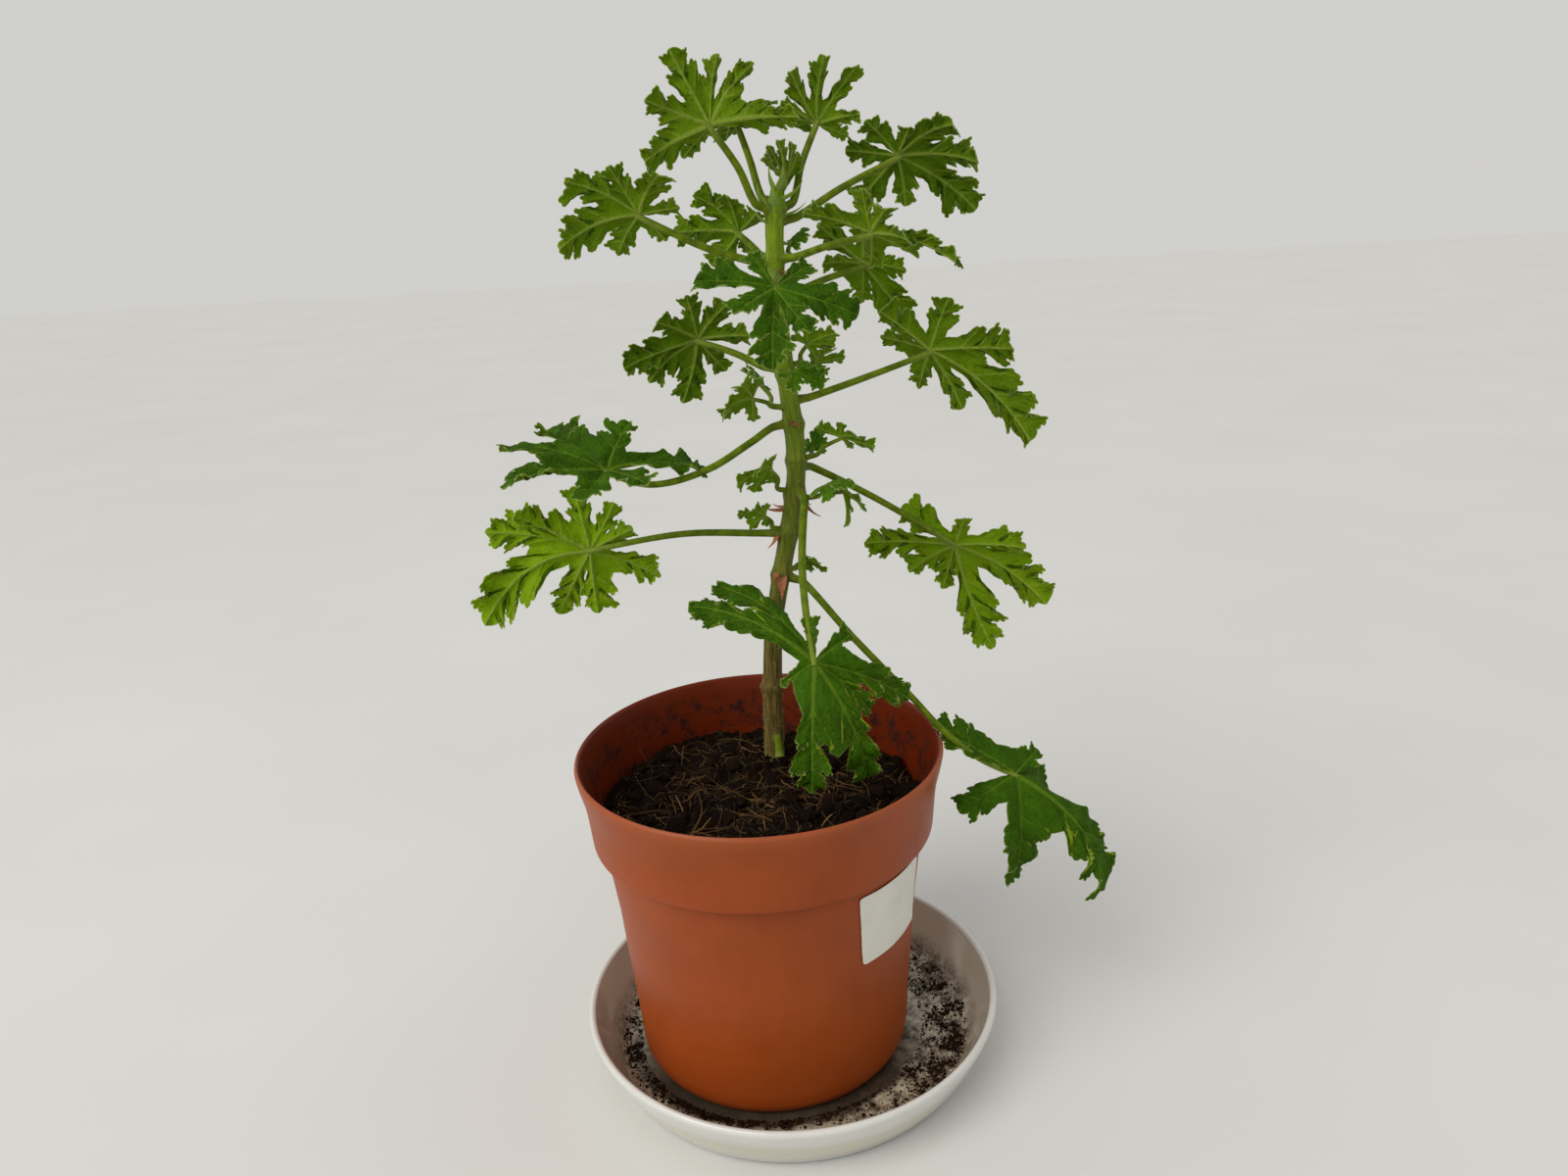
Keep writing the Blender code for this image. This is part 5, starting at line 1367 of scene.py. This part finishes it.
def paperFinish():
    # coated label paper: smooth and off-white, a little worn at its edges
    finish, shader = newMaterial("labelPaperCoated", 0.38, Subsurface_Weight=0.05, Subsurface_Scale=0.001)
    colour = layered(finish, "#d6d3c8", ("#e2dfd5", patchesOf(finish, 12, 0.3, 0.7)))
    tooth = patchesOf(finish, 1.2, 0, 1)
    bump = addNode(finish, "Bump", {}, {"Height": tooth, "Strength": 0.5, "Distance": 0.02 * mm})
    wire(finish, shader, {"Base Color": colour, "Normal": bump})
    return finish


def tableFinish():
    # painted board: pale, smooth and almost plain
    finish, shader = newMaterial("paintedBoardPale", 0.55)
    colour = layered(finish, "#d6d6d4", ("#dadad8", patchesOf(finish, 180, 0.3, 0.7, 2)))
    wire(finish, shader, {"Base Color": colour})
    return finish


# table, light and camera

view = dict(  # the camera's place, aim and lens, worked out from the pot's and the saucer's round edges
    place=(5.0, -378.6, 307.3), pitch=18.52, roll=-3.07, focal=1202.0, imageWidth=1600.0, sensor=36.0,
)

light = dict(
    sunStrength=1.2, sunSoftness=40.0, sunWay=(0.70, 0.68, -0.95), sunColour="#fffcf5",
    boxPlace=(-0.9, -0.5, 0.75), boxSize=0.6, boxPower=2.5, boxColour="#fffaf2", boxAim=(0, 0, 0.16),
    roomColour="#f1f0ed", roomStrength=0.72,
)


def buildStage():
    bpy.ops.mesh.primitive_plane_add(size=9.0, location=(0, 0, -0.0002))
    table = bpy.context.object
    table.name = "paleTable"
    table.data.materials.append(tableFinish())


def addLamp(name, kind, power, colour, way):
    lamp = bpy.data.lights.new(name, kind)
    lamp.energy = power
    lamp.color = linear(colour)[:3]
    holder = bpy.data.objects.new(name, lamp)
    bpy.context.scene.collection.objects.link(holder)
    holder.rotation_mode = "QUATERNION"
    holder.rotation_quaternion = Vector(way).to_track_quat("-Z", "Y")
    return lamp, holder


def buildLight():
    # an even pale room, with a broad soft sun and a softbox from the left and in front
    sun, _ = addLamp("softKey", "SUN", light["sunStrength"], light["sunColour"], light["sunWay"])
    sun.angle = math.radians(light["sunSoftness"])
    way = Vector(light["boxAim"]) - Vector(light["boxPlace"])
    box, holder = addLamp("softboxLeft", "AREA", light["boxPower"], light["boxColour"], way)
    box.shape = "DISK"
    box.size = light["boxSize"]
    holder.location = light["boxPlace"]
    world = bpy.data.worlds.new("paleRoom")
    world.use_nodes = True
    background = world.node_tree.nodes["Background"]
    background.inputs["Color"].default_value = linear(light["roomColour"])
    background.inputs["Strength"].default_value = light["roomStrength"]
    bpy.context.scene.world = world
    bpy.context.scene.view_settings.view_transform = "Standard"


def buildCamera():
    # turned from looking level along Y, first down and then about its own axis
    pitch, roll = math.radians(view["pitch"]), math.radians(view["roll"])
    forward = Vector((0, math.cos(pitch), -math.sin(pitch)))
    right, up = Vector((1, 0, 0)), Vector((0, math.sin(pitch), math.cos(pitch)))
    turnedRight = right * math.cos(roll) + up * math.sin(roll)
    turnedUp = up * math.cos(roll) - right * math.sin(roll)
    lens = bpy.data.cameras.new("camera")
    lens.sensor_width = view["sensor"]
    lens.lens = view["focal"] / view["imageWidth"] * view["sensor"]
    lens.clip_start = 0.01
    camera = bpy.data.objects.new("camera", lens)
    bpy.context.scene.collection.objects.link(camera)
    camera.matrix_world = Matrix((
        (turnedRight.x, turnedUp.x, -forward.x, view["place"][0] * mm),
        (turnedRight.y, turnedUp.y, -forward.y, view["place"][1] * mm),
        (turnedRight.z, turnedUp.z, -forward.z, view["place"][2] * mm),
        (0, 0, 0, 1)))
    bpy.context.scene.camera = camera


buildCamera()
buildStage()
buildLight()
print("stage, light and camera ready")

hairs = hairFinish()
stalks = stalkFinish()
# the last two colours of each, for the underside, are partly painted light shining through the blade from
# behind
grown = leafFinish("geraniumLeafDowny", "#213c03", "#3a5d07", "#3e5504", "#779509")
young = leafFinish("geraniumLeafYoung", "#2c4c05", "#466c09", "#4c6607", "#7c9a0e")
peat = peatFinish()
shreds = fibreFinish()
print("finishes ready")

buildSaucer(glazeFinish())
buildPot(potFinish())
buildSoil(peat, shreds)
buildSpill(peat, shreds)
buildSticker(paperFinish())
print("pot, saucer and soil made")

buildStem([stemFinish(), hairs, scaleFinish(), young])
buildCutShoot([stalks, hairs])
buildLeaves(grown, young, stalks, hairs)
